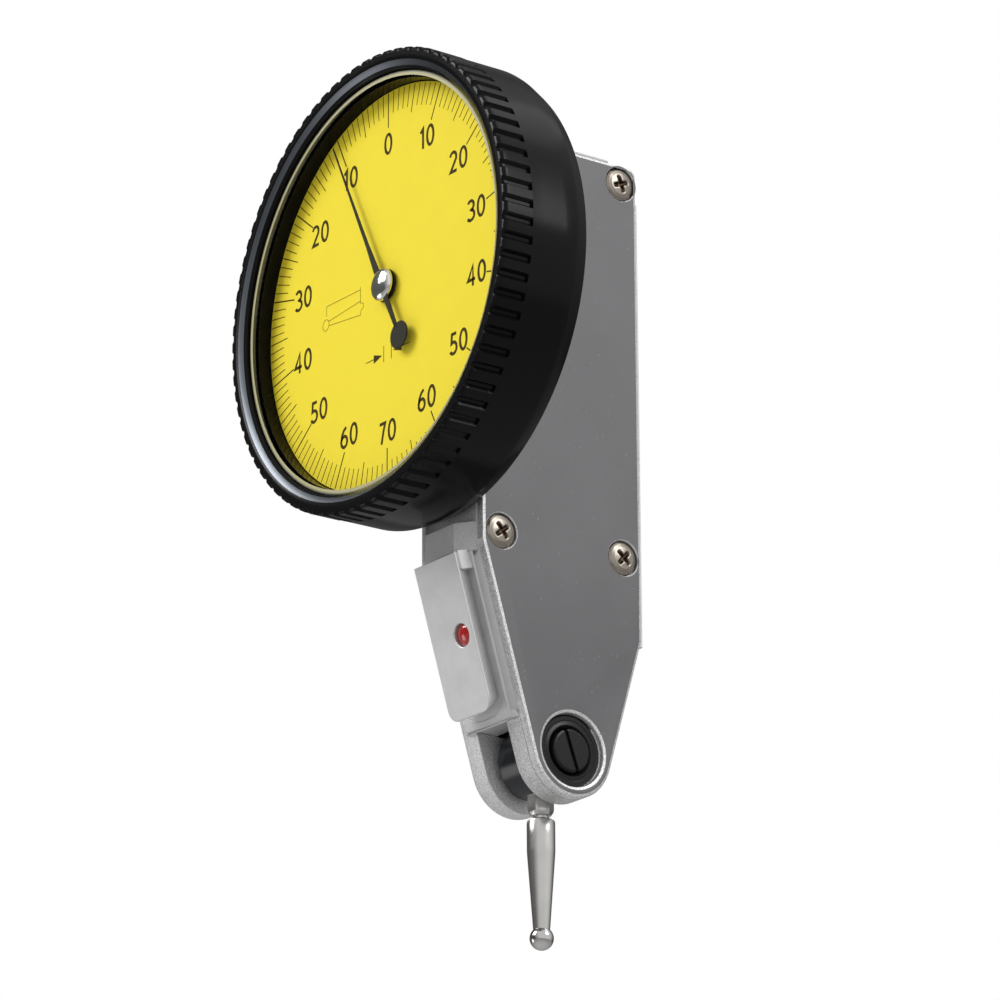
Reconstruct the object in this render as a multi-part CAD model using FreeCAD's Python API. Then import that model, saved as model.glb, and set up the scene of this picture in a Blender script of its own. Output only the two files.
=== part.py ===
import FreeCAD, Part
import math
import os
from FreeCAD import Vector

os.makedirs("parts", exist_ok=True)

# Lever type dial test indicator, in millimetres.
# The origin is where the dial's axis meets the face of the rear dovetail.
# +Z runs away from the stylus, the dial faces -Y and the side frame is on +X.

# Housing outline, seen along X
body_depth = 16.5           # front face to back face
body_top = 14.6             # above the dial's axis
pivot_drop = 38.7           # stylus pivot below the dial's axis
pivot_back = 9.15           # stylus pivot behind the front face
nose_radius = 4.05          # round end of the fork
nose_taper = 16.5           # degrees, both flanks of the nose
corner_radius = 0.8
wall = 1.0
left_face = 4.5             # casting's side, from the middle plane
right_face = 4.5            # side frame's outer face
frame_thickness = 0.8
edge_bevel = 0.3
edge_round = 0.6

# Shaping
past = 1.0                  # how far a cutting tool runs past a face
far = 60.0                  # longer than any piece
merge = 0.1                 # how far joined shapes run into each other
tolerance = 0.01            # for picking edges

# Ridge and dovetails
ridge_gap = 0.4             # below the bezel
ridge_run_on = 0.3          # past the front dovetail's upper end
ridge_height = 1.15
ridge_half = 2.0
ridge_foot_half = 3.6
dovetail_half = 2.93
dovetail_flank = 30.0       # degrees of undercut
front_dovetail_height = 2.0
front_dovetail_length = 13.2
front_dovetail_drop = 0.55  # below the start of the slope
front_dovetail_corner = 1.2
cutter_depth = 1.7
rear_dovetail_height = 1.35
rear_dovetail_top = 12.2
rear_dovetail_bottom = 28.0
top_dovetail_height = 1.05
top_dovetail_front = 2.5    # behind the front face
top_dovetail_length = 12.3

# Fork, pivot and stylus
fork_left = 2.3             # left cheek's inner face
fork_right = 1.8            # right cheek's inner face
bridge_above_pivot = 2.3    # lower edge of the wall above the fork's gap
seam_gap = 0.1
drum_radius = 3.25
drum_left = 1.7
drum_bore = 1.3
drum_room = 0.35
drum_bevel = 0.2
drum_seat_gap = 0.01        # to the lever's hub
cheek_hole = 3.08
lock_ring_wall = 1.1
lock_ring_length = 1.8
lock_ring_recess = 0.5
lock_ring_floor = 0.6
lock_ring_flare = 0.35
screw_head_radius = 1.85
pivot_head_height = 0.95
pivot_shank = 1.2
pivot_tip = 0.55
right_tip_end = 0.05        # on the drum's side of the middle plane
left_tip_end = 0.5
left_screw_sink = 0.2
running_gap = 0.05
lever_thickness = 0.5
lever_side_gap = 0.15
lever_room = 2.4            # half width of the lever's way out of the fork
lever_hub = 3.15
lever_width = 2.2
lever_arm_start = 2.0       # these heights are above the stylus pivot
lever_arm_knee = 16.0
lever_neck = 0.77           # half width at the sector
lever_slot_half = 0.45
lever_slot_low = 7.0
lever_slot_high = 20.0
sector_depth = 2.2
sector_margin = 0.4         # of a tooth, beyond the last ones
retainer_groove = 0.95      # radius of the groove's floor
retainer_rim = 0.5          # beyond the tube
retainer_half_opening = 0.5
retainer_thickness = 0.15
retainer_end_wall = 0.08
washer_thickness = 0.06
washer_rim = 0.6            # inside the drum's edge
stylus_reach = 15.01        # pivot to ball centre
ball_radius = 1.0
stem_radius = 1.18
stem_tip_radius = 0.7
stem_shoulder = 5.0         # pivot to the stem's upper end
stem_straight = 2.7
stem_bevel = 0.2
ball_cup = 0.63             # radius of the stem's end on the ball
neck_radius = 0.62
neck_length = 0.35
collar_flats = 1.9
collar_bevel_height = 0.8
drum_flat = 3.0             # pivot to the stylus seat
stub_radius = 0.55
stub_length = 1.4

# Bezel, crystal and dial; depths are behind the dial's face
dial_gap = 6.45             # dial face to housing front
bezel_front = 2.4           # bezel rim ahead of the dial's face
bezel_rear = 6.1
grip_radius = 20.0
grip_end = 0.3
grip_bevel = 0.4
skirt_step = 0.05           # skirt inside the grip
skirt_bevel_start = 4.85
skirt_bevel = 0.55
groove_count = 80
groove_width = 0.8
groove_floor = 0.36
groove_depth = 0.32
rim_width = 2.25            # grip to crystal
crystal_front = 1.8
crystal_thickness = 0.6
crystal_bevel = 0.15
crystal_fit = 0.05
dial_fit = 0.05
rim_slope = 0.8
sight_step = 0.45           # crystal to the dial's clear edge
dial_thickness = 0.4
dial_hole = 1.2
ledge = 0.8
ledge_thickness = 0.5
seat_step = 0.6             # clear edge to the dial seat
seat_gap = 0.3
seat_wall = 1.5
seat_front = 1.3
seat_flange = 1.5           # beyond the seat
seat_flange_thickness = 1.55
ring_from_dial = 2.95
ring_thickness = 0.5
ring_stand = 0.55           # beyond the seat
ring_depth = 0.6
ring_slack = 0.1            # inside the spring ring
ring_half_opening = 1.5
snap_clearance = 0.25
seat_hub_radius = 2.6
seat_hub_height = 1.2
seat_head_sink = 0.6
seat_head_height = 0.55
front_hole_radius = 2.0     # in the housing's front, for the pointer's shaft

# Pointer
pointer_lift = 0.6
pointer_thickness = 0.15
pointer_length = 16.4
pointer_tail = 5.75
pointer_root_half = 0.55
pointer_tip_half = 0.09
pointer_tail_half = 0.28
pointer_disc = 1.06
pointer_hub = 1.4
pointer_reading = 10.2      # divisions left of zero
dial_divisions = 140
boss_radius = 1.38
boss_height = 0.3
collet_radius = 0.8
collet_below = 0.3          # behind the pointer
pointer_travel = 400.0      # degrees, one turn and a little more

# Gear train
sector_radius = 30.0        # pitch radius of the lever's sector; sets every tooth's size
pressure_angle = 25.0
addendum = 0.8
dedendum = 1.1
backlash = 0.05
sector_teeth = 300
sector_cut = 13
first_pinion_teeth = 10
wheel_teeth = 66
second_pinion_teeth = 12
crown_teeth = 49
centre_pinion_teeth = 12
arbor_radius = 0.35
arbor_pivot = 0.2
pivot_length = 0.4
transfer_offset = 1.0       # transfer arbor ahead of the stylus pivot
wheel_thickness = 0.6
wheel_bridge_gap = 0.3
wheel_holes = 5
wheel_hole_radius = 1.58
wheel_hole_ring = 3.7       # from the arbor to a hole's centre
crown_holes = 4
crown_hole_radius = 1.27
crown_hole_ring = 2.55
crown_tooth_inset = 0.03
arbor_end_gap = 0.1
pinion_side = 0.05          # pointer pinion past the crown wheel's teeth
crown_face = 1.0
crown_thickness = 0.7
pinion_overlap = 0.1
jewel_radius = 0.6
jewel_thickness = 0.4
jewel_gap = 0.03
jewel_sink = 0.1            # deeper than the jewel
front_bearing_radius = 1.0
rear_bearing_gap = 1.4      # behind the crown wheel's mesh
rear_shoulder_gap = 0.1
bridge_thickness = 0.5
bridge_gap = 0.1
bridge_margin = 1.2
bridge_head_sink = 0.3
pillar_radius = 1.1
upper_pillar_rise = 8.4     # above the crown arbor
pillar_ahead = 5.1          # of the crown arbor
pillar_behind = 4.9
lower_pillar_drop = 8.1     # below the transfer arbor
lower_pillar_front = 2.95   # behind the front face
lower_pillar_back = 2.75    # ahead of the back face
bracket_thickness = 0.6
bracket_foot = 0.7
bracket_side_gap = 0.14
bracket_wheel_gap = 0.5
bracket_low = 0.85          # below the pointer's shaft
bracket_screw_rise = 2.3
bracket_foot_end = 1.1

# Hairspring, on the crown arbor
spring_x0 = 0.4
spring_height = 0.3
spring_strip = 0.06
spring_pitch = 0.45
spring_turns = 3
spring_inner = 0.9
spring_side = 0.1           # collet and stud past the strip
stud_radius = 0.3

# Fasteners
cover_nose_front = (1.98, -21.12)   # behind the front face, above the dial's axis
cover_nose_back = (1.88, -21.07)    # ahead of the back face, above the dial's axis
cover_top_back = (1.7, 12.87)       # ahead of the back face, above the dial's axis
cover_screw_head = 1.4
cover_screw_height = 0.42
cover_screw_bevel = 0.15
cover_screw_sink = 0.5
cover_screw_shank = 0.7
cover_screw_length = 4.0
cross_width = 0.36
cross_length = 1.7
cross_depth = 0.25
cross_turn = 35.0           # degrees
head_room = 0.2             # around a cover screw's head
shank_room = 0.1            # around a cover screw's shank, in the side frame
hole_spare = 0.3            # hole deeper than its screw
post_radius = 1.6
small_head = 0.85
small_shank = 0.45
small_length = 2.2
small_head_height = 0.5
small_room = 0.05           # around a small screw in the piece that it holds
slot_width = 0.3
slot_depth = 0.2
seat_screw_top = 11.5       # above the dial's axis
seat_screw_low = -14.6
seat_post_length = 3.2
seat_room = 0.1             # around a seat screw
dowel_radius = 0.5
dowel_wall = 0.85
dowel_depth = 1.5           # in the casting
dowel_frame_depth = 0.35
dowel_end_gap = 0.05
dowel_top = (2.2, 2.0)      # behind the front face, below the top
dowel_low = (4.3, 2.0)      # ahead of the stylus pivot, above the cavity's floor
stop_radius = 0.4
stop_gap = 0.06
stop_drop = 8.0             # below the transfer arbor
stop_depth = 0.7
stop_past_lever = 0.2
dot_radius = 0.95
dot_recess = 0.25
dot_depth = 0.8
dot_dome = 2.0
dot_side = 1.25             # towards the side frame
dot_down = 6.8              # below the dovetail's upper end
fit_gap = 0.02

# Places that follow from the sizes above
back_y = -rear_dovetail_height
front_y = back_y - body_depth
dial_y = front_y - dial_gap
seam_x = right_face - frame_thickness
pivot_y = front_y + pivot_back
pivot_z = -pivot_drop
taper = math.radians(nose_taper)
slope = Vector(0, math.sin(taper), -math.cos(taper))       # down the front of the nose
slope_out = Vector(0, -math.cos(taper), -math.sin(taper))
gap_top = pivot_z + bridge_above_pivot
lever_x1 = fork_right - lever_side_gap
lever_x0 = lever_x1 - lever_thickness
cavity_floor = pivot_z + drum_radius + drum_room + wall
pointer_angle = -math.radians(pointer_reading * 360.0 / dial_divisions)

# Rings of the bezel and its seat, from the grip inwards
skirt_radius = grip_radius - skirt_step
crystal_radius = grip_radius - rim_width
sight_radius = crystal_radius - sight_step
seat_radius = sight_radius - seat_step
seat_flange_radius = seat_radius + seat_flange
ring_outer = seat_radius + ring_stand

# Gear centres: stylus pivot, transfer arbor, crown arbor, dial axis
module = 2 * sector_radius / sector_teeth
first_r = module * first_pinion_teeth / 2
wheel_r = module * wheel_teeth / 2
second_r = module * second_pinion_teeth / 2
crown_r = module * crown_teeth / 2
centre_r = module * centre_pinion_teeth / 2
transfer_y = pivot_y - transfer_offset
transfer_z = pivot_z + math.sqrt((sector_radius + first_r) ** 2 - transfer_offset ** 2)
crown_z = 0.0
crown_y = transfer_y + math.sqrt((wheel_r + second_r) ** 2 - (crown_z - transfer_z) ** 2)
mesh_y = crown_y - crown_r
crown_tip_x = -centre_r + addendum * module
crown_root_x = -centre_r - dedendum * module
bridge_x0 = seam_x - bridge_gap - bridge_thickness
wheel_x1 = bridge_x0 - wheel_bridge_gap
wheel_x0 = wheel_x1 - wheel_thickness
floor_x = -left_face + wall
rear_bearing_y = mesh_y + rear_bearing_gap
bracket_web_z = crown_z + crown_r + crown_face / 2 + bracket_wheel_gap
bracket_half = -crown_tip_x - bracket_side_gap
bracket_back = rear_bearing_y + bracket_thickness
bracket_screw_z = bracket_web_z + bracket_screw_rise
lock_ring_x1 = right_face - lock_ring_recess
lock_ring_x0 = lock_ring_x1 - lock_ring_length
tube_x0 = -fork_left + lever_side_gap
retainer_x0 = tube_x0 + retainer_end_wall
seat_face_y = dial_gap - seat_flange_thickness      # front of the seat's flange, behind the dial
seat_hub_y = seat_face_y - seat_hub_height
train_ratio = (sector_teeth / first_pinion_teeth) * (wheel_teeth / second_pinion_teeth)
train_ratio *= crown_teeth / centre_pinion_teeth
lever_travel = pointer_travel / train_ratio


def save(name, shape):
    shape.exportStep("parts/%s.step" % name)


def cyl(radius, start, length, axis):
    return Part.makeCylinder(radius, length, start, axis)


def cyl_x(radius, x0, x1, y, z):
    return cyl(radius, Vector(x0, y, z), x1 - x0, Vector(1, 0, 0))


def cyl_y(radius, y0, y1, x=0.0, z=0.0):
    return cyl(radius, Vector(x, y0, z), y1 - y0, Vector(0, 1, 0))


def box(x0, x1, y0, y1, z0, z1):
    return Part.makeBox(x1 - x0, y1 - y0, z1 - z0, Vector(x0, y0, z0))


def fuse(shapes):
    return shapes[0].multiFuse(shapes[1:]).removeSplitter()


def cut(shape, tools):
    return shape.cut(tools)


def polygon(points):
    return Part.Face(Part.makePolygon(points + [points[0]]))


def prism_x(points, x0, x1):
    return polygon([Vector(x0, y, z) for y, z in points]).extrude(Vector(x1 - x0, 0, 0))


def prism_y(points, y0, y1):
    return polygon([Vector(x, y0, z) for x, z in points]).extrude(Vector(0, y1 - y0, 0))


def turned_y(profile, y_shift):
    """Ring or disc about the dial's axis from (radius, depth) points."""
    face = polygon([Vector(r, y + y_shift, 0) for r, y in profile])
    return face.revolve(Vector(0, 0, 0), Vector(0, 1, 0), 360)


def turned_z(profile, y, z):
    """Turned piece hanging from a point, from (radius, drop) points."""
    face = polygon([Vector(r, y, z - drop) for r, drop in profile])
    return face.revolve(Vector(0, y, 0), Vector(0, 0, 1), 360)


def outline_face(x):
    """Side view of the housing: straight body, tapered nose and round end."""
    c, s, t = math.cos(taper), math.sin(taper), math.tan(taper)
    pivot = Vector(x, pivot_y, pivot_z)
    tangent_back = pivot + Vector(0, nose_radius * c, -nose_radius * s)
    tangent_front = pivot + Vector(0, -nose_radius * c, -nose_radius * s)
    shoulder_back = tangent_back.z + (back_y - tangent_back.y) / t
    shoulder_front = tangent_front.z + (tangent_front.y - front_y) / t
    bottom = pivot - Vector(0, 0, nose_radius)
    top_front = Vector(x, front_y, body_top)
    corner_low = Vector(x, back_y, body_top - corner_radius)
    corner_high = Vector(x, back_y - corner_radius, body_top)
    half = corner_radius * (1 - math.sqrt(0.5))
    corner_mid = Vector(x, back_y - half, body_top - half)
    back = Vector(x, back_y, shoulder_back)
    front = Vector(x, front_y, shoulder_front)
    edges = [
        Part.makeLine(top_front, corner_high),
        Part.Arc(corner_high, corner_mid, corner_low).toShape(),
        Part.makeLine(corner_low, back),
        Part.makeLine(back, tangent_back),
        Part.Arc(tangent_back, bottom, tangent_front).toShape(),
        Part.makeLine(tangent_front, front),
        Part.makeLine(front, top_front),
    ]
    return Part.Face(Part.Wire(edges))


def nose_top():
    """Where the front face starts to slope back."""
    c, s, t = math.cos(taper), math.sin(taper), math.tan(taper)
    start = Vector(0, pivot_y - nose_radius * c, pivot_z - nose_radius * s)
    return Vector(0, front_y, start.z + (start.y - front_y) / t)


def undercut(half, height):
    return half - height * math.tan(math.radians(dovetail_flank))


def front_dovetail():
    """Male dovetail on the sloped front, with the cutter's floor beside it."""
    height, root = front_dovetail_height, undercut(dovetail_half, cutter_depth)
    floor = height - cutter_depth
    section = [(dovetail_half, height), (root, floor), (dovetail_half, floor), (ridge_foot_half, -merge)]
    section += [(-x, h) for x, h in reversed(section)]
    start = dovetail_start()
    points = [start + Vector(x, 0, 0) + slope_out * h for x, h in section]
    block = polygon(points).extrude(slope * front_dovetail_length)
    low = front_dovetail_length
    lower = [e for e in block.Edges if is_flank_end(e, start, low)]
    return block.makeFillet(front_dovetail_corner, lower)


def dovetail_start():
    """Upper end of the front dovetail, at the level of the sloped front."""
    return nose_top() + slope * front_dovetail_drop


def is_flank_end(edge, start, low):
    """Lower end edge of a flank, from the face to the cutter's floor."""
    ends = [v.Point - start for v in edge.Vertexes]
    if min(p.dot(slope) for p in ends) < low - tolerance:
        return False
    rise = abs(ends[0].dot(slope_out) - ends[-1].dot(slope_out))
    return abs(rise - cutter_depth) < tolerance


def ridge():
    """Raised neck between the bezel and the front dovetail."""
    top = -(skirt_radius + ridge_gap)
    section = [(ridge_half, front_y - ridge_height), (ridge_foot_half, front_y + merge)]
    section += [(-x, y) for x, y in reversed(section)]
    points = [Vector(x, y, top) for x, y in section]
    end = dovetail_start().z
    return polygon(points).extrude(Vector(0, 0, end - top - ridge_run_on))


def rear_dovetail():
    root = undercut(dovetail_half, rear_dovetail_height)
    points = [Vector(x, y, -rear_dovetail_bottom) for x, y in
              [(-dovetail_half, 0), (dovetail_half, 0), (root, back_y), (-root, back_y)]]
    return polygon(points).extrude(Vector(0, 0, rear_dovetail_top + rear_dovetail_bottom))


def top_dovetail():
    root = undercut(dovetail_half, top_dovetail_height)
    y0 = front_y + top_dovetail_front
    high = body_top + top_dovetail_height
    points = [Vector(x, y0, z) for x, z in
              [(-dovetail_half, high), (dovetail_half, high), (root, body_top), (-root, body_top)]]
    return polygon(points).extrude(Vector(0, top_dovetail_length, 0))


def screw_places():
    """Cover screws: nose front, nose back and top back, as (y, z)."""
    places = [(front_y + cover_nose_front[0], cover_nose_front[1])]
    places.append((back_y - cover_nose_back[0], cover_nose_back[1]))
    places.append((back_y - cover_top_back[0], cover_top_back[1]))
    return places


def dowel_places():
    return [(front_y + dowel_top[0], body_top - dowel_top[1]),
            (pivot_y - dowel_low[0], cavity_floor + dowel_low[1])]


def pillar_places():
    """Movement bridge pillars, clear of the wheels."""
    top = crown_z + upper_pillar_rise
    low = transfer_z - lower_pillar_drop
    return [(crown_y - pillar_ahead, top), (crown_y + pillar_behind, top),
            (front_y + lower_pillar_front, low), (back_y - lower_pillar_back, low)]


def stop_places():
    """Pins that the lever rests against and stops at, as (y, z)."""
    z = transfer_z - stop_drop
    turn = math.asin(transfer_offset / (sector_radius + first_r))
    centre = pivot_y - (z - pivot_z) * math.tan(turn)
    reach = lever_width / 2 / math.cos(turn) + stop_radius
    travel = (z - pivot_z) * math.radians(lever_travel)
    return [(centre - reach - stop_gap, z), (centre + reach + travel + stop_gap, z)]


def cavity():
    """Room for the movement, inside the housing outline."""
    inner = outline_face(floor_x).makeOffset2D(-wall)
    room = inner.extrude(Vector(seam_x - floor_x + past, 0, 0))
    return room.common(box(-far, far, -far, far, cavity_floor, far))


def body_casting():
    outline = outline_face(-left_face)
    body = outline.extrude(Vector(left_face + seam_x, 0, 0))
    left_rim = [e for e in body.Edges if abs(e.CenterOfMass.x + left_face) < tolerance]
    body = body.makeFillet(edge_round, left_rim)
    body = fuse([body, front_dovetail(), ridge(), rear_dovetail(), top_dovetail()])
    room = cavity().cut(casting_posts())
    tools = [room] + fork_room() + casting_holes()
    return cut(body, tools)


def casting_posts():
    """Posts for screws, dowels and pillars, left standing in the cavity."""
    start = floor_x - merge
    posts = [cyl_x(post_radius, start, seam_x, y, z) for y, z in screw_places()]
    posts += [cyl_x(dowel_radius + dowel_wall, start, seam_x, y, z) for y, z in dowel_places()]
    posts += [cyl_x(pillar_radius, start, bridge_x0, y, z) for y, z in pillar_places()]
    for z in (seat_screw_top, seat_screw_low):
        posts.append(cyl_y(post_radius, front_y + wall - merge, front_y + seat_post_length, 0, z))
    return posts


def fork_room():
    """Gap of the fork, with room for the drum and the lever's way out."""
    right = fork_right + lever_side_gap
    gap = box(-fork_left, seam_x + past, -far, far, -far, gap_top)
    drum = cyl_x(drum_radius + drum_room, -fork_left, right, pivot_y, pivot_z)
    way = box(lever_x0 - drum_room, right, pivot_y - lever_room, pivot_y + lever_room,
              gap_top, cavity_floor + merge)
    screw = cyl_x(pivot_shank, -far, 0, pivot_y, pivot_z)
    ring = cyl_x(cheek_hole, fork_right, seam_x + past, pivot_y, pivot_z)
    return [gap, drum, way, screw, ring]


def casting_holes():
    screw_hole = small_shank + fit_gap
    tools = [cyl_x(cover_screw_shank + fit_gap, seam_x - cover_screw_length, seam_x + past, y, z)
             for y, z in screw_places()]
    tools += [cyl_x(dowel_radius, seam_x - dowel_depth - dowel_end_gap, seam_x + past, y, z)
              for y, z in dowel_places()]
    tools += [cyl_x(screw_hole, bridge_x0 - small_length, bridge_x0 + past, y, z)
              for y, z in pillar_places()]
    tools += [cyl_y(screw_hole, front_y - past, front_y + small_length + hole_spare, 0, z)
              for z in (seat_screw_top, seat_screw_low)]
    tools += [cyl_x(stop_radius, floor_x - stop_depth, floor_x + past, y, z) for y, z in stop_places()]
    tools += [cyl_x(jewel_radius, floor_x - jewel_thickness - jewel_sink, floor_x + past, y, z)
              for y, z in [(transfer_y, transfer_z), (crown_y, crown_z)]]
    tools.append(cyl_y(front_hole_radius, front_y - past, front_y + wall + past))
    tools.append(cyl_y(screw_hole, front_y - past, front_y + wall + past, 0, bracket_screw_z))
    tools.append(cyl(dot_radius + fit_gap, dot_place() + slope_out * past, past + dot_depth, slope_out * -1))
    return tools


def dot_place():
    """Centre of the sealing dot on the dovetail's face."""
    face = dovetail_start() + slope_out * front_dovetail_height
    return face + slope * dot_down + Vector(dot_side, 0, 0)


def sealing_dot():
    """Lacquer seal with a domed top, a little below the dovetail's face."""
    body = cyl(dot_radius, dot_place() - slope_out * dot_depth, dot_depth - dot_recess, slope_out)
    centre = dot_place() - slope_out * (dot_recess + dot_dome)
    return body.common(Part.makeSphere(dot_dome, centre))


def side_frame():
    """Cover plate that carries the fork's right cheek."""
    plate = outline_face(seam_x).extrude(Vector(frame_thickness, 0, 0))
    rim = [e for e in plate.Edges if abs(e.CenterOfMass.x - right_face) < tolerance]
    plate = plate.makeChamfer(edge_bevel, rim)
    cheek = outline_face(fork_right).extrude(Vector(seam_x - fork_right, 0, 0))
    cheek = cheek.common(box(0, far, -far, far, -far, gap_top - seam_gap))
    frame = fuse([plate, cheek])
    tools = [cyl_x(cheek_hole, 0, far, pivot_y, pivot_z)]
    tools.append(Part.makeCone(cheek_hole, cheek_hole + edge_bevel, edge_bevel,
                               Vector(right_face - edge_bevel, pivot_y, pivot_z), Vector(1, 0, 0)))
    for y, z in screw_places():
        tools.append(cyl_x(cover_screw_head + head_room, right_face - cover_screw_sink, far, y, z))
        tools.append(cyl_x(cover_screw_shank + shank_room, 0, right_face, y, z))
    tools += [cyl_x(dowel_radius, 0, seam_x + dowel_frame_depth + dowel_end_gap, y, z)
              for y, z in dowel_places()]
    return cut(frame, tools)


def cover_screws():
    """Three cross-recessed screws."""
    seat = right_face - cover_screw_sink
    top = seat + cover_screw_height
    screws = []
    for y, z in screw_places():
        head = cyl_x(cover_screw_head, seat, top, y, z)
        rim = [e for e in head.Edges if abs(e.CenterOfMass.x - top) < tolerance]
        head = head.makeChamfer(cover_screw_bevel, rim)
        shank = cyl_x(cover_screw_shank, seam_x - cover_screw_length + hole_spare, seat, y, z)
        arm = box(top - cross_depth, top + past, y - cross_length / 2, y + cross_length / 2,
                  z - cross_width / 2, z + cross_width / 2)
        cross = [arm.copy(), arm.copy()]
        cross[0].rotate(Vector(0, y, z), Vector(1, 0, 0), cross_turn)
        cross[1].rotate(Vector(0, y, z), Vector(1, 0, 0), cross_turn + 90)
        screws.append(cut(fuse([head, shank]), cross))
    return Part.makeCompound(screws)


def dowels():
    x0, x1 = seam_x - dowel_depth, seam_x + dowel_frame_depth
    return Part.makeCompound([cyl_x(dowel_radius - fit_gap / 2, x0, x1, y, z) for y, z in dowel_places()])


def stop_pins():
    return Part.makeCompound([cyl_x(stop_radius, floor_x - stop_depth, lever_x1 + stop_past_lever, y, z)
                              for y, z in stop_places()])


def slotted_head(radius, height, start, axis):
    """Slotted screw head that stands on a point; its slot crosses the top."""
    head = cyl(radius, start, height, axis)
    side = Vector(0, 1, 0) if abs(axis.x) > 0.5 else Vector(1, 0, 0)
    across = axis.cross(side)
    low = start + axis * (height - slot_depth)
    corners = [low + side * (radius * a) + across * (slot_width * b)
               for a, b in [(-2, -0.5), (2, -0.5), (2, 0.5), (-2, 0.5)]]
    return head.cut(polygon(corners).extrude(axis * (slot_depth + past)))


# ---- stylus pivot ----

def pivot_lock_ring():
    """Threaded ring that locks the right pivot screw in the cheek."""
    x0, x1 = lock_ring_x0, lock_ring_x1
    bore = cheek_hole - lock_ring_wall
    ring = cyl_x(cheek_hole - fit_gap, x0, x1, pivot_y, pivot_z)
    step = cyl_x(bore, x0 + lock_ring_floor, far, pivot_y, pivot_z)
    thread = cyl_x(pivot_shank, 0, far, pivot_y, pivot_z)
    flare = Part.makeCone(bore, bore + lock_ring_flare, lock_ring_flare,
                          Vector(x1 - lock_ring_flare, pivot_y, pivot_z), Vector(1, 0, 0))
    return cut(ring, [step, thread, flare])


def right_pivot_screw():
    seat = lock_ring_x0 + lock_ring_floor
    end = fork_right + running_gap
    head = slotted_head(screw_head_radius, pivot_head_height, Vector(seat, pivot_y, pivot_z), Vector(1, 0, 0))
    shank = cyl_x(pivot_shank - fit_gap, end, seat, pivot_y, pivot_z)
    tip = cyl_x(pivot_tip, -right_tip_end, end, pivot_y, pivot_z)
    return fuse([head, shank, tip])


def left_pivot_screw():
    end = -fork_left - running_gap
    length = left_face - left_screw_sink + end
    head = slotted_head(pivot_shank - fit_gap, length, Vector(end, pivot_y, pivot_z), Vector(-1, 0, 0))
    tip = cyl_x(pivot_tip, end, -left_tip_end, pivot_y, pivot_z)
    return fuse([head, tip])


def sensing_lever():
    """Toothed sector, arm, hub disc and the tube that the stylus drum turns on."""
    turn = math.asin(transfer_offset / (sector_radius + first_r))
    up = Vector(0, -math.sin(turn), math.cos(turn))
    back = Vector(0, math.cos(turn), math.sin(turn))
    pivot = Vector(lever_x0, pivot_y, pivot_z)
    teeth = sector_profile(turn)
    inner = sector_radius - sector_depth
    spread = math.pi * (sector_cut + sector_margin) / sector_teeth
    rim_low = [pivot + (up * math.cos(a) + back * math.sin(a)) * inner for a in (spread, 0, -spread)]
    sector = polygon(teeth + rim_low).extrude(Vector(lever_thickness, 0, 0))
    arm = lever_shape([(lever_width / 2, lever_arm_start), (lever_width / 2, lever_arm_knee),
                       (lever_neck, inner + merge)], up, back)
    slot = lever_shape([(lever_slot_half, lever_slot_low), (lever_slot_half, lever_slot_high)], up, back)
    hub = cyl_x(lever_hub, lever_x0, lever_x1, pivot_y, pivot_z)
    tube = cyl_x(drum_bore - running_gap, tube_x0, lever_x0, pivot_y, pivot_z)
    bore = cyl_x(pivot_tip + running_gap, -far, far, pivot_y, pivot_z)
    groove = cyl_x(drum_radius, retainer_x0, retainer_x0 + retainer_thickness, pivot_y, pivot_z)
    groove = groove.cut(cyl_x(retainer_groove, -far, far, pivot_y, pivot_z))
    return cut(fuse([hub, tube, arm, sector]), [bore, slot, groove])


def lever_shape(half_points, up, back):
    """Shape along the lever from (half width, height above the pivot) points."""
    pivot = Vector(lever_x0, pivot_y, pivot_z)
    points = [pivot + back * half + up * rise for half, rise in half_points]
    points += [pivot - back * half + up * rise for half, rise in reversed(half_points)]
    return polygon(points).extrude(Vector(lever_thickness, 0, 0))


def clutch_retainer():
    """Open ring snapped in the groove at the tube's end."""
    x0 = retainer_x0 + fit_gap / 2
    x1 = retainer_x0 + retainer_thickness - fit_gap / 2
    ring = cyl_x(drum_bore + retainer_rim, x0, x1, pivot_y, pivot_z)
    ring = ring.cut(cyl_x(retainer_groove + fit_gap, -far, far, pivot_y, pivot_z))
    gap = box(-far, far, pivot_y - retainer_half_opening, pivot_y + retainer_half_opening, pivot_z, far)
    return ring.cut(gap)


def clutch_washer():
    """Dished spring washer that presses the drum on the lever's hub."""
    x0 = retainer_x0 + retainer_thickness
    x1 = -drum_left
    r0, r1 = drum_bore + fit_gap, drum_radius - washer_rim
    section = [(x0, r0), (x0 + washer_thickness, r0), (x1, r1), (x1 - washer_thickness, r1)]
    face = polygon([Vector(x, pivot_y, pivot_z + r) for x, r in section])
    return face.revolve(Vector(0, pivot_y, pivot_z), Vector(1, 0, 0), 360)


def stylus_drum():
    """Drum that the stylus screws into; it swivels on the lever's tube."""
    drum = cyl_x(drum_radius, -drum_left, lever_x0 - drum_seat_gap, pivot_y, pivot_z)
    rims = [e for e in drum.Edges if abs(e.CenterOfMass.x - drum.CenterOfMass.x) > drum_left / 2]
    drum = drum.makeChamfer(drum_bevel, rims)
    bore = cyl_x(drum_bore, -far, far, pivot_y, pivot_z)
    flat = box(-far, far, -far, far, -far, pivot_z - drum_flat)
    seat = Vector(0, pivot_y, pivot_z - drum_flat)
    stub = cyl(stub_radius + fit_gap, seat, stub_length + merge, Vector(0, 0, 1))
    return cut(drum, [bore, flat, stub])


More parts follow.
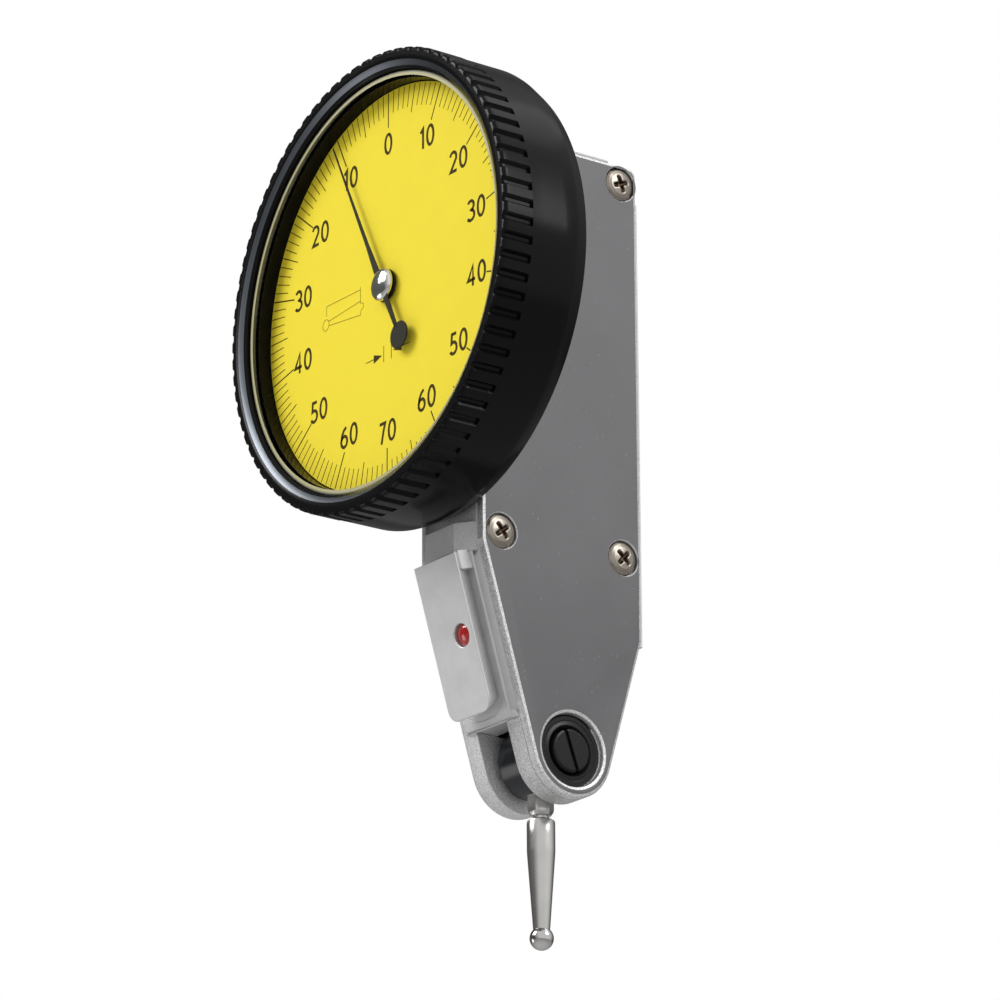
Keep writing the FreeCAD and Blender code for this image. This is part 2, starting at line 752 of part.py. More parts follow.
def stylus_stem():
    """Hexagonal collar, neck, straight shank and taper to the ball."""
    tip = stylus_reach - math.sqrt(ball_radius ** 2 - ball_cup ** 2)
    collar_end = stem_shoulder - neck_length
    straight_end = stem_shoulder + stem_straight
    profile = [(0, collar_end - merge), (neck_radius, collar_end - merge), (neck_radius, stem_shoulder),
               (stem_radius - stem_bevel, stem_shoulder), (stem_radius, stem_shoulder + stem_bevel),
               (stem_radius, straight_end), (stem_tip_radius, tip), (0, tip)]
    shank = turned_z(profile, pivot_y, pivot_z)
    corner = collar_flats / math.sqrt(3)
    hexagon = []
    for k in range(6):
        a = math.pi * k / 3
        hexagon.append(Vector(corner * math.cos(a), pivot_y + corner * math.sin(a), pivot_z - drum_flat))
    collar = polygon(hexagon).extrude(Vector(0, 0, drum_flat - collar_end))
    low = pivot_z - collar_end
    cone = Part.makeCone(neck_radius + merge, neck_radius + merge + collar_bevel_height, collar_bevel_height,
                         Vector(0, pivot_y, low), Vector(0, 0, 1))
    upper = box(-far, far, -far, far, low + collar_bevel_height, pivot_z)
    collar = collar.common(fuse([cone, upper]))
    stub = cyl(stub_radius, Vector(0, pivot_y, pivot_z - drum_flat), stub_length, Vector(0, 0, 1))
    stem = fuse([shank, collar, stub])
    return stem.cut(stylus_ball())


def stylus_ball():
    return Part.makeSphere(ball_radius, Vector(0, pivot_y, pivot_z - stylus_reach))


# ---- bezel, crystal and dial ----

def bezel():
    """Ring with grip grooves, crystal seat, dial ledge and snap groove."""
    snap0 = ring_from_dial - snap_clearance
    snap1 = ring_from_dial + ring_thickness + snap_clearance
    bore = seat_radius + seat_gap
    glass = crystal_radius + crystal_fit
    glass_back = crystal_thickness - crystal_front
    profile = [
        (grip_radius - grip_bevel, -bezel_front), (grip_radius, -bezel_front + grip_bevel),
        (grip_radius, grip_end), (skirt_radius, grip_end), (skirt_radius, skirt_bevel_start),
        (skirt_radius - skirt_bevel, bezel_rear), (seat_flange_radius + seat_gap, bezel_rear),
        (seat_flange_radius + seat_gap, seat_face_y - seat_gap), (bore, seat_face_y - seat_gap),
        (bore, snap1), (ring_outer + seat_gap, snap1), (ring_outer + seat_gap, snap0), (bore, snap0),
        (bore, dial_thickness + ledge_thickness), (sight_radius - ledge, dial_thickness + ledge_thickness),
        (sight_radius - ledge, dial_thickness), (sight_radius, dial_thickness), (sight_radius, glass_back),
        (glass, glass_back), (glass, -crystal_front), (glass + rim_slope, -bezel_front)]
    ring = turned_y(profile, dial_y)
    low = grip_radius - groove_depth
    flare = groove_width - groove_floor
    groove = prism_y([(-groove_floor / 2, low), (groove_floor / 2, low),
                      (groove_width / 2 + flare, grip_radius + 2 * groove_depth),
                      (-groove_width / 2 - flare, grip_radius + 2 * groove_depth)],
                     dial_y - bezel_front - past, dial_y + grip_end)
    grooves = []
    for k in range(groove_count):
        copy = groove.copy()
        copy.rotate(Vector(0, 0, 0), Vector(0, 1, 0), 360 * (k + 0.5) / groove_count)
        grooves.append(copy)
    return ring.cut(grooves)


def crystal():
    back = crystal_thickness - crystal_front
    profile = [(0, -crystal_front), (crystal_radius - crystal_bevel, -crystal_front),
               (crystal_radius, -crystal_front + crystal_bevel), (crystal_radius, back), (0, back)]
    return turned_y(profile, dial_y)


def dial_plate():
    disc = cyl_y(sight_radius - dial_fit, dial_y, dial_y + dial_thickness)
    return disc.cut(cyl_y(dial_hole, -far, 0))


def dial_seat():
    """Turned cup on the housing's front that the bezel turns on."""
    inner = seat_radius - seat_wall
    snap0 = ring_from_dial - fit_gap
    snap1 = ring_from_dial + ring_thickness + fit_gap
    profile = [
        (front_bearing_radius, dial_gap), (seat_flange_radius, dial_gap), (seat_flange_radius, seat_face_y),
        (seat_radius, seat_face_y), (seat_radius, snap1), (seat_radius - ring_depth, snap1),
        (seat_radius - ring_depth, snap0), (seat_radius, snap0), (seat_radius, seat_front),
        (inner, seat_front), (inner, seat_face_y), (seat_hub_radius, seat_face_y),
        (seat_hub_radius, seat_hub_y), (front_bearing_radius, seat_hub_y)]
    seat = turned_y(profile, dial_y)
    tools = []
    for z in (seat_screw_top, seat_screw_low):
        tools.append(cyl_y(small_shank + seat_room, dial_y, 0, 0, z))
        tools.append(cyl_y(small_head + seat_room, dial_y, dial_y + seat_face_y + seat_head_sink, 0, z))
    return cut(seat, tools)


def seat_screws():
    seat = dial_y + seat_face_y + seat_head_sink
    screws = []
    for z in (seat_screw_top, seat_screw_low):
        head = slotted_head(small_head, seat_head_height, Vector(0, seat, z), Vector(0, -1, 0))
        shank = cyl_y(small_shank, seat, front_y + small_length, 0, z)
        screws.append(fuse([head, shank]))
    return Part.makeCompound(screws)


def bezel_ring():
    """Open spring ring between the seat's groove and the bezel's groove."""
    y0 = dial_y + ring_from_dial
    ring = cyl_y(ring_outer, y0, y0 + ring_thickness)
    ring = ring.cut(cyl_y(seat_radius - ring_depth + ring_slack, -far, 0))
    return ring.cut(box(-ring_half_opening, ring_half_opening, -far, 0, 0, far))


# ---- pointer ----

def turned_to_reading(shape):
    shape.rotate(Vector(0, 0, 0), Vector(0, 1, 0), math.degrees(pointer_angle))
    return shape


def pointer():
    """Tapered needle with a round tail, at its reading left of zero."""
    y0 = dial_y - pointer_lift - pointer_thickness
    y1 = dial_y - pointer_lift
    needle = prism_y([(-pointer_tip_half, pointer_length), (pointer_tip_half, pointer_length),
                      (pointer_root_half, 0), (pointer_tail_half, -pointer_tail),
                      (-pointer_tail_half, -pointer_tail),
                      (-pointer_root_half, 0)], y0, y1)
    hub = cyl_y(pointer_hub, y0, y1)
    tail = cyl_y(pointer_disc, y0, y1, 0, -pointer_tail)
    shape = fuse([needle, hub, tail]).cut(cyl_y(collet_radius, -far, 0))
    return turned_to_reading(shape)


def pointer_boss():
    """Collet with a domed cap that presses the pointer on its arbor."""
    y0 = dial_y - pointer_lift - pointer_thickness
    dome_r = (boss_radius ** 2 + boss_height ** 2) / (2 * boss_height)
    ball = Part.makeSphere(dome_r, Vector(0, y0 + dome_r - boss_height, 0))
    cap = ball.common(cyl_y(boss_radius, -far, y0))
    collet = cyl_y(collet_radius, y0, dial_y - pointer_lift + collet_below)
    bore = cyl_y(arbor_radius, y0, dial_y)
    return fuse([cap, collet]).cut(bore)


# ---- gear train ----

def tooth_half(teeth, radius):
    """Half of a tooth's angle at a radius, for an involute flank."""
    pitch_r = module * teeth / 2
    angle = math.radians(pressure_angle)
    base_r = pitch_r * math.cos(angle)
    here = math.acos(base_r / max(radius, base_r))
    thick = (math.pi * module / 2 - backlash) / (2 * pitch_r)
    return thick + (math.tan(angle) - angle) - (math.tan(here) - here)


def tooth_corners(teeth):
    """(angle, radius) corners of one tooth, from its left root to its right root."""
    pitch_r = module * teeth / 2
    radii = [pitch_r - dedendum * module, pitch_r, pitch_r + addendum * module]
    left = [(-tooth_half(teeth, r), r) for r in radii]
    return left + [(-a, r) for a, r in reversed(left)]


def gear_points(teeth, phase, u, v):
    """Closed outline of a gear; phase is the angle of one tooth."""
    points = []
    for k in range(teeth):
        centre = phase + 2 * math.pi * k / teeth
        points += [(u + r * math.cos(centre + a), v + r * math.sin(centre + a))
                   for a, r in tooth_corners(teeth)]
    return points


def sector_profile(turn):
    """Toothed edge of the lever, a few teeth each side of the line of centres."""
    points = []
    for k in range(-(sector_cut // 2), sector_cut // 2 + 1):
        centre = 2 * math.pi * k / sector_teeth
        for a, r in tooth_corners(sector_teeth):
            around = centre + a - turn
            points.append(Vector(lever_x0, pivot_y + r * math.sin(around), pivot_z + r * math.cos(around)))
    return points


def line_angle(y0, z0, y1, z1):
    return math.atan2(z1 - z0, y1 - y0)


def gear_arbor(y, z, pinion):
    """Shaft along X with a pivot at each end and an integral pinion."""
    shaft = cyl_x(arbor_radius, floor_x + arbor_end_gap, bridge_x0 - arbor_end_gap, y, z)
    pivots = cyl_x(arbor_pivot, floor_x - pivot_length, bridge_x0 + pivot_length, y, z)
    return fuse([shaft, pivots, pinion])


def transfer_arbor():
    line = line_angle(pivot_y, pivot_z, transfer_y, transfer_z)
    phase = line + math.pi + math.pi / first_pinion_teeth
    points = gear_points(first_pinion_teeth, phase, transfer_y, transfer_z)
    pinion = prism_x(points, lever_x0 - 2 * pinion_overlap, lever_x1 + 2 * pinion_overlap)
    return gear_arbor(transfer_y, transfer_z, pinion)


def transfer_wheel():
    """Spoked spur wheel pressed on the transfer arbor."""
    phase = line_angle(transfer_y, transfer_z, crown_y, crown_z)
    wheel = prism_x(gear_points(wheel_teeth, phase, transfer_y, transfer_z), wheel_x0, wheel_x1)
    holes = round_holes(wheel_holes, wheel_hole_radius, wheel_hole_ring, 0, transfer_y, transfer_z)
    return cut(wheel, holes + [cyl_x(arbor_radius, -far, far, transfer_y, transfer_z)])


def round_holes(count, radius, ring, first, y, z):
    """Ring of holes through a wheel; first is the angle of one of them."""
    holes = []
    for k in range(count):
        a = first + 2 * math.pi * k / count
        holes.append(cyl_x(radius, -far, far, y + ring * math.cos(a), z + ring * math.sin(a)))
    return holes


def crown_arbor():
    line = line_angle(transfer_y, transfer_z, crown_y, crown_z)
    phase = line + math.pi + math.pi / second_pinion_teeth
    points = gear_points(second_pinion_teeth, phase, crown_y, crown_z)
    return gear_arbor(crown_y, crown_z, prism_x(points, wheel_x0 - pinion_overlap, wheel_x1 + pinion_overlap))


def crown_wheel():
    """Contrate wheel: teeth stand on its face and turn the pointer's pinion."""
    outer = crown_r + crown_face / 2
    wheel = cyl_x(outer, crown_root_x - crown_thickness, crown_root_x, crown_y, crown_z)
    rise = math.tan(math.radians(pressure_angle))
    half = (math.pi * module / 2 - backlash) / 2
    half_tip = half - addendum * module * rise
    half_root = half + dedendum * module * rise
    start = crown_y - outer + crown_tooth_inset
    foot_x = crown_root_x - merge
    section = [(crown_tip_x, half_tip), (crown_root_x, half_root), (foot_x, half_root),
               (foot_x, -half_root), (crown_root_x, -half_root), (crown_tip_x, -half_tip)]
    tooth = prism_y([(x, crown_z + z) for x, z in section], start, start + crown_face)
    teeth = []
    for k in range(crown_teeth):
        copy = tooth.copy()
        copy.rotate(Vector(0, crown_y, crown_z), Vector(1, 0, 0), 360.0 * k / crown_teeth)
        teeth.append(copy)
    first = math.pi / crown_holes
    holes = round_holes(crown_holes, crown_hole_radius, crown_hole_ring, first, crown_y, crown_z)
    return cut(fuse([wheel] + teeth), holes + [cyl_x(arbor_radius, -far, far, crown_y, crown_z)])


def centre_arbor():
    """Pointer shaft with its pinion, along the dial's axis."""
    front = dial_y - pointer_lift - pointer_thickness
    shoulder = rear_bearing_y - rear_shoulder_gap
    shaft = cyl_y(arbor_radius, front, shoulder)
    pivot = cyl_y(arbor_pivot, shoulder - merge, rear_bearing_y + pivot_length)
    phase = math.pi + math.pi / centre_pinion_teeth
    points = gear_points(centre_pinion_teeth, phase, 0, 0)
    half = crown_face / 2 + pinion_side
    pinion = prism_y(points, mesh_y - half, mesh_y + half)
    return fuse([shaft, pivot, pinion])


def bearing_ring_y(outer, inner, y0, y1):
    return cyl_y(outer, y0, y1).cut(cyl_y(inner, -far, far))


def centre_bearings():
    """Bearing rings of the pointer's shaft, in the dial seat and in the bracket."""
    y0 = dial_y + seat_hub_y
    front = bearing_ring_y(front_bearing_radius - fit_gap, arbor_radius + jewel_gap, y0, y0 + seat_hub_height)
    rear = bearing_ring_y(jewel_radius - fit_gap, arbor_pivot + jewel_gap,
                          rear_bearing_y, rear_bearing_y + jewel_thickness)
    return Part.makeCompound([front, rear])


def arbor_jewels():
    """Four bearing rings, two in the casting's floor and two in the bridge."""
    rings = []
    for y, z in [(transfer_y, transfer_z), (crown_y, crown_z)]:
        for x0 in (floor_x - jewel_thickness, bridge_x0):
            ring = cyl_x(jewel_radius - fit_gap, x0, x0 + jewel_thickness, y, z)
            rings.append(ring.cut(cyl_x(arbor_pivot + jewel_gap, -far, far, y, z)))
    return Part.makeCompound(rings)


# ---- bracket, movement bridge and hairspring ----

def centre_bracket():
    """Bent bracket inside the front wall that holds the pointer shaft's rear bearing."""
    inner = front_y + wall
    top = bracket_web_z + bracket_foot
    half = bracket_half
    plate = box(-half, half, rear_bearing_y, bracket_back, -bracket_low, top)
    web = box(-half, half, inner, bracket_back, bracket_web_z, top)
    foot = box(-half, half, inner, inner + bracket_foot, bracket_web_z, bracket_screw_z + bracket_foot_end)
    hole = cyl_y(jewel_radius, rear_bearing_y - past, 0)
    screw = cyl_y(small_shank + small_room, inner - past, 0, 0, bracket_screw_z)
    return cut(fuse([plate, web, foot]), [hole, screw])


def bracket_screw():
    seat = front_y + wall + bracket_foot
    head = slotted_head(small_head, small_head_height, Vector(0, seat, bracket_screw_z), Vector(0, 1, 0))
    return fuse([head, cyl_y(small_shank, front_y + merge, seat, 0, bracket_screw_z)])


def movement_bridge():
    """Plate on four pillars that carries the outer ends of the two arbors."""
    corners = pillar_places()
    order = [corners[0], corners[1], corners[3], corners[2]]
    face = polygon([Vector(bridge_x0, y, z) for y, z in order]).makeOffset2D(bridge_margin)
    plate = face.extrude(Vector(bridge_thickness, 0, 0))
    tools = [cyl_x(jewel_radius, 0, far, y, z) for y, z in [(transfer_y, transfer_z), (crown_y, crown_z)]]
    for y, z in corners:
        tools.append(cyl_x(small_shank + small_room, 0, far, y, z))
        tools.append(cyl_x(small_head + small_room, seam_x - bridge_gap - bridge_head_sink, far, y, z))
    y, z = spring_end()
    tools.append(cyl_x(stud_radius, 0, far, y + stud_radius, z))
    return cut(plate, tools)


def bridge_screws():
    screws = []
    seat = seam_x - bridge_gap - bridge_head_sink
    for y, z in pillar_places():
        head = slotted_head(small_head, bridge_head_sink, Vector(seat, y, z), Vector(1, 0, 0))
        shank = cyl_x(small_shank, bridge_x0 - small_length + hole_spare, seat, y, z)
        screws.append(fuse([head, shank]))
    return Part.makeCompound(screws)


def spring_end():
    """Outer end of the hairspring, behind the crown arbor."""
    return crown_y + spring_inner + spring_pitch * spring_turns + spring_strip, crown_z


def hairspring():
    """Flat spiral of half circles about two centres, half a pitch apart."""
    x0, x1 = spring_x0, spring_x0 + spring_height
    bands = []
    for k in range(2 * spring_turns):
        side = 1 if k % 2 == 0 else -1
        radius = spring_inner + spring_pitch / 4 + spring_pitch * k / 2
        y = crown_y - side * spring_pitch / 4
        ring = cyl_x(radius + spring_strip, x0, x1, y, crown_z).cut(cyl_x(radius, -far, far, y, crown_z))
        z0, z1 = (crown_z, far) if side > 0 else (-far, crown_z)
        bands.append(ring.common(box(-far, far, -far, far, z0, z1)))
    return fuse(bands)


def hairspring_collet():
    ring = cyl_x(spring_inner - spring_pitch / 4, spring_x0 - spring_side,
                 spring_x0 + spring_height + spring_side, crown_y, crown_z)
    return ring.cut(cyl_x(arbor_radius, -far, far, crown_y, crown_z))


def hairspring_stud():
    y, z = spring_end()
    return cyl_x(stud_radius, spring_x0 - spring_side, seam_x - bridge_gap, y + stud_radius, z)


for name, make in [
        ("body_casting", body_casting), ("side_frame", side_frame), ("side_frame_screws", cover_screws),
        ("locating_dowels", dowels), ("sealing_dot", sealing_dot), ("lever_stop_pins", stop_pins),
        ("pivot_lock_ring", pivot_lock_ring), ("right_pivot_screw", right_pivot_screw),
        ("left_pivot_screw", left_pivot_screw), ("sensing_lever", sensing_lever),
        ("clutch_retainer", clutch_retainer), ("clutch_spring_washer", clutch_washer),
        ("stylus_drum", stylus_drum), ("stylus_stem", stylus_stem), ("stylus_ball", stylus_ball),
        ("bezel", bezel), ("crystal", crystal), ("dial_plate", dial_plate), ("dial_seat", dial_seat),
        ("dial_seat_screws", seat_screws), ("bezel_snap_ring", bezel_ring), ("pointer", pointer),
        ("pointer_boss", pointer_boss), ("centre_arbor", centre_arbor), ("centre_bearings", centre_bearings),
        ("centre_bracket", centre_bracket), ("centre_bracket_screw", bracket_screw),
        ("crown_wheel", crown_wheel), ("crown_arbor", crown_arbor), ("transfer_wheel", transfer_wheel),
        ("transfer_arbor", transfer_arbor), ("arbor_jewels", arbor_jewels),
        ("movement_bridge", movement_bridge), ("movement_bridge_screws", bridge_screws),
        ("hairspring", hairspring), ("hairspring_collet", hairspring_collet),
        ("hairspring_stud", hairspring_stud)]:
    save(name, make())
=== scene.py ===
import math
import bmesh
import bpy
import numpy as np
from mathutils import Matrix, Vector
from mathutils.geometry import tessellate_polygon


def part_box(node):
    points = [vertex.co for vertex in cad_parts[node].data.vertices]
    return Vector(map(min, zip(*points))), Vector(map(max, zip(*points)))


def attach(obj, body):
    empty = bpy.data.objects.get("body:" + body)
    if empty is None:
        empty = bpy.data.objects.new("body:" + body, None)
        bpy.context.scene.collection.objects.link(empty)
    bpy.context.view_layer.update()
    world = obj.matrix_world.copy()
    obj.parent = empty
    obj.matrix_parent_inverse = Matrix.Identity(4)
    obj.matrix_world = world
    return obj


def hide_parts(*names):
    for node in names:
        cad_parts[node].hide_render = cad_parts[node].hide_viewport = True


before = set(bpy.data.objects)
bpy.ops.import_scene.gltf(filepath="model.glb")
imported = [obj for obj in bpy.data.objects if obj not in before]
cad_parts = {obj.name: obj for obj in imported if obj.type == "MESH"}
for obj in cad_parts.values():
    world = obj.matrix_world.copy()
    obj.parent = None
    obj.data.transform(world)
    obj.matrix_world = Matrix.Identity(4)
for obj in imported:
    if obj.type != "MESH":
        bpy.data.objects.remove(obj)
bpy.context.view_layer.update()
print("frame loaded:", len(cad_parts), "nodes")

# Every size below is in millimetres and becomes metres when a mesh is made.
mm = 0.001
drumBox = [np.array(c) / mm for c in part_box("stylus_drum")]
dialBox = [np.array(c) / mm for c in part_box("dial_plate")]
drumRadius = 3.25
pivotY = float(drumBox[0][1] + drumBox[1][1]) / 2
pivotZ = float(drumBox[1][2]) - drumRadius
dialY = float(dialBox[0][1])

housing = {
    "front": -17.85, "back": -1.35, "top": 14.6, "left": -4.5, "seam": 3.7, "right": 4.5,
    "noseRadius": 4.05, "taper": math.radians(16.5), "gapTop": -36.4, "forkLeft": -2.3, "forkRight": 1.8,
    "drumRoom": 3.6, "floor": -3.5, "wall": 1.0, "cavityFloor": -34.1,
    "edge": 0.6, "seamEdge": 0.12, "forkEdge": 0.12}


# A point's frame: an origin and the three directions that a, b and h run in.
def axisFrame(origin, a, b, h):
    return {"origin": np.array(origin, float), "a": np.array(a, float), "b": np.array(b, float), "h": np.array(h, float)}


dialFrame = axisFrame((0, dialY, 0), (1, 0, 0), (0, 0, 1), (0, 1, 0))
pivotFrame = axisFrame((0, pivotY, pivotZ), (0, 1, 0), (0, 0, 1), (1, 0, 0))
stemFrame = axisFrame((0, pivotY, pivotZ), (1, 0, 0), (0, 1, 0), (0, 0, -1))
sideFrame = axisFrame((0, 0, 0), (0, 1, 0), (0, 0, 1), (1, 0, 0))


# Point = origin + a, b and h along the frame's three directions.
def placed(a, b, h, where):
    return where["origin"] + a[..., None] * where["a"] + b[..., None] * where["b"] + h[..., None] * where["h"]


# Closed polygon with each corner replaced by an arc that is tangent to both of its edges.
def smoothed(points, radii, step=math.radians(7)):
    points = [np.array(p, float) for p in points]
    out = []
    for corner, last, following, radius in zip(points, points[-1:] + points[:-1], points[1:] + points[:1], radii):
        before, after = last - corner, following - corner
        before, after = before / np.linalg.norm(before), after / np.linalg.norm(after)
        if radius <= 0:
            out.append(corner[None])
            continue
        half = math.acos(np.clip(before @ after, -1, 1)) / 2
        centre = corner + (before + after) / np.linalg.norm(before + after) * radius / math.sin(half)
        start = corner + before * radius / math.tan(half) - centre
        end = corner + after * radius / math.tan(half) - centre
        sweep = math.atan2(start[0] * end[1] - start[1] * end[0], start @ end)
        turn = np.linspace(0, sweep, max(3, int(abs(sweep) / step) + 2))
        c, s = np.cos(turn), np.sin(turn)
        out.append(centre + np.stack([start[0] * c - start[1] * s, start[0] * s + start[1] * c], 1))
    return anticlockwise(np.concatenate(out))


# Order of a closed outline's points that gives a positive area.
def anticlockwise(outline):
    area = (outline[:, 0] * np.roll(outline[:, 1], -1) - outline[:, 1] * np.roll(outline[:, 0], -1)).sum()
    return outline if area > 0 else outline[::-1]


# Each corner moves along the mean of its two edges' left-hand normals, so both edges move by the amount.
def inset(outline, amount):
    edge = np.roll(outline, -1, 0) - outline
    normal = np.stack([-edge[:, 1], edge[:, 0]], 1) / np.linalg.norm(edge, axis=1)[:, None]
    last = np.roll(normal, 1, 0)
    return outline + amount * (normal + last) / (1 + (normal * last).sum(1))[:, None]


# Points (centre + radius times the cosine and sine of the turn).
def circle(radius, centre=(0, 0), steps=72):
    turn = np.linspace(0, 2 * np.pi, steps, endpoint=False)
    return np.stack([centre[0] + radius * np.cos(turn), centre[1] + radius * np.sin(turn)], 1)


# A surface's arrays: points, four-cornered faces, triangles and a mark from 0 to 1 at each point.
def shell(verts, quads=(), tris=(), mark=0.0):
    quads = np.array(quads, int).reshape(-1, 4)
    tris = np.array(tris, int).reshape(-1, 3)
    return {"verts": verts, "quads": quads, "tris": tris, "mark": np.broadcast_to(mark, len(verts)).astype(np.float32)}


# Quads between neighbours of an (around, along) grid that closes around; a column of equal points is a pole.
def grid(points, mark=0.0):
    around, along = points.shape[:2]
    index = np.arange(around * along).reshape(around, along)
    meets = np.ptp(points, axis=0).max(axis=1) < 1e-7
    index[:, meets] = index[0, meets]
    beside = np.roll(index, -1, 0)
    quads = np.stack([index[:, :-1], index[:, 1:], beside[:, 1:], beside[:, :-1]], -1).reshape(-1, 4)
    first, last = quads[:, 0] == quads[:, 3], quads[:, 1] == quads[:, 2]
    tris = np.concatenate([quads[first & ~last][:, :3], quads[last & ~first][:, [0, 1, 3]]])
    return shell(points.reshape(-1, 3), quads[~(first | last)], tris, np.broadcast_to(mark, (around, along)).ravel())


# Surface (turn, step): a (radius, height) profile carried round the frame's h; wave changes the radius.
def revolved(profile, where, steps=96, wave=None, mark=0.0):
    profile = np.array(profile, float)
    turn = np.linspace(0, 2 * np.pi, steps, endpoint=False)[:, None]
    radius, height = np.broadcast_to(profile[:, 0], (steps, len(profile))), profile[None, :, 1] + 0 * turn
    if wave is not None:
        radius = wave(turn, radius, height)
    return grid(placed(radius * np.sin(turn), radius * np.cos(turn), height, where), mark)


# Flat end = the first loop less the others, cut into triangles.
def flatEnd(loops, height, where, mark):
    flat = np.concatenate(loops)
    tris = tessellate_polygon([[Vector((x, y, 0)) for x, y in loop] for loop in loops])
    return shell(placed(flat[:, 0], flat[:, 1], np.full(len(flat), float(height)), where), (), tris, mark)


# Prism: an outline carried along an (inset, height) profile, with flat ends. A hole is (outline, profile, blind),
# and its insets make it wider; the mark runs along the profile.
def plate(outline, profile, where, holes=(), mark=None):
    mark = np.zeros(len(profile)) if mark is None else np.array(mark, float)
    shells, starts, ends = [], [], []
    for loop, steps, blind, shade in [(outline, profile, False, mark)] + [
            (hole[::-1], steps, blind, np.append(np.zeros(len(steps) - 1), mark[-1])) for hole, steps, blind in holes]:
        rows = np.stack([inset(loop, d) for d, h in steps], 1)
        heights = np.array([h for d, h in steps], float)
        shells.append(grid(placed(rows[..., 0], rows[..., 1], heights[None] + 0 * rows[..., 0], where), shade))
        ends.append(rows[:, -1])
        if blind:
            shells.append(flatEnd([rows[:, 0]], heights[0], where, 0.0))
        else:
            starts.append(rows[:, 0])
    shells.append(flatEnd(starts, profile[0][1], where, mark[0]))
    shells.append(flatEnd(ends, profile[-1][1], where, mark[-1]))
    return joined(shells)


# One shell from several: each one's faces are counted on from the points before it.
def joined(shells):
    counts = np.cumsum([0] + [len(s["verts"]) for s in shells[:-1]])
    return {"verts": np.concatenate([s["verts"] for s in shells]), "mark": np.concatenate([s["mark"] for s in shells]),
            "quads": np.concatenate([s["quads"] + c for s, c in zip(shells, counts)]),
            "tris": np.concatenate([s["tris"] + c for s, c in zip(shells, counts)])}


# Mesh object from shells: equal points are merged, normals turned outward, and edges over the angle kept sharp.
def makePiece(name, shells, material, body, replaced=(), sharp=28):
    whole = joined(shells)
    mesh = bpy.data.meshes.new(name)
    mesh.from_pydata((whole["verts"] * mm).tolist(), [], whole["quads"].tolist() + whole["tris"].tolist())
    mesh.attributes.new("mark", "FLOAT", "POINT").data.foreach_set("value", whole["mark"])
    work = bmesh.new()
    work.from_mesh(mesh)
    bmesh.ops.remove_doubles(work, verts=work.verts, dist=2e-7)
    bmesh.ops.delete(work, geom=[v for v in work.verts if not v.link_faces], context="VERTS")
    bmesh.ops.recalc_face_normals(work, faces=work.faces)
    work.to_mesh(mesh)
    work.free()
    mesh.polygons.foreach_set("use_smooth", np.ones(len(mesh.polygons), bool))
    mesh.set_sharp_from_angle(angle=math.radians(sharp))
    mesh.materials.append(material)
    piece = bpy.data.objects.new(name, mesh)
    bpy.context.scene.collection.objects.link(piece)
    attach(piece, body)
    if replaced:
        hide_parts(*replaced)
    return piece


# A socket with arithmetic: each operator adds a Math node.
class Value:
    def __init__(self, finish, socket):
        self.finish, self.socket = finish, socket

    def maths(self, operation, first, second):
        return self.finish.add("ShaderNodeMath", {"operation": operation}, {0: first, 1: second})

    def __add__(self, other):
        return self.maths("ADD", self, other)

    def __mul__(self, other):
        return self.maths("MULTIPLY", self, other)

    def __sub__(self, other):
        return self.maths("SUBTRACT", self, other)

    def __rsub__(self, other):
        return self.maths("SUBTRACT", other, self)

    __radd__ = __add__
    __rmul__ = __mul__

    # 0 below the low value, 1 above the high one, straight between.
    def ramp(self, low, high):
        return self.finish.add("ShaderNodeMapRange", {"clamp": True}, {"Value": self, "From Min": low, "From Max": high})


# A node tree; add() makes any node from its type, settings and inputs, and returns one output.
class Nodes:
    def __init__(self, tree):
        self.tree = tree

    def fill(self, socket, value):
        if isinstance(value, Value):
            self.tree.links.new(value.socket, socket)
        else:
            socket.default_value = value

    def add(self, kind, settings, inputs, output=0):
        node = self.tree.nodes.new(kind)
        for key, value in settings.items():
            setattr(node, key, value)
        for key, value in inputs.items():
            self.fill(node.inputs[key], value)
        return Value(self, node.outputs[output])


# A principled material; set() fills one socket of its shader.
class Finish(Nodes):
    def __init__(self, name, **constants):
        self.material = bpy.data.materials.new(name)
        self.material.use_nodes = True
        super().__init__(self.material.node_tree)
        self.tree.nodes.clear()
        self.shader = self.tree.nodes.new("ShaderNodeBsdfPrincipled")
        self.output = self.tree.nodes.new("ShaderNodeOutputMaterial")
        self.tree.links.new(self.shader.outputs[0], self.output.inputs[0])
        for key, value in constants.items():
            self.set(key.replace("_", " "), value)

    def set(self, key, value):
        self.fill(self.shader.inputs[key], value)

    # Noise over the object's coordinates, with blobs about as wide as the size; stretch scales each axis.
    def noise(self, size, detail=2.0, roughness=0.5, stretch=(1, 1, 1)):
        place = self.add("ShaderNodeTexCoord", {}, {}, "Object")
        place = self.add("ShaderNodeMapping", {}, {"Vector": place, "Scale": stretch})
        return self.add("ShaderNodeTexNoise", {}, {"Vector": place, "Scale": 1 / (size * mm),
                                                   "Detail": detail, "Roughness": roughness})

    def mixed(self, amount, low, high):
        return self.add("ShaderNodeMix", {"data_type": "RGBA"}, {0: amount, 6: low, 7: high}, 2)

    def mark(self):
        return self.add("ShaderNodeAttribute", {"attribute_name": "mark"}, {}, "Fac")

    def bump(self, height, depth):
        self.set("Normal", self.add("ShaderNodeBump", {}, {"Height": height, "Distance": depth * mm}))


def grey(value, warm=0.0):
    return (value + warm, value, value - warm, 1)


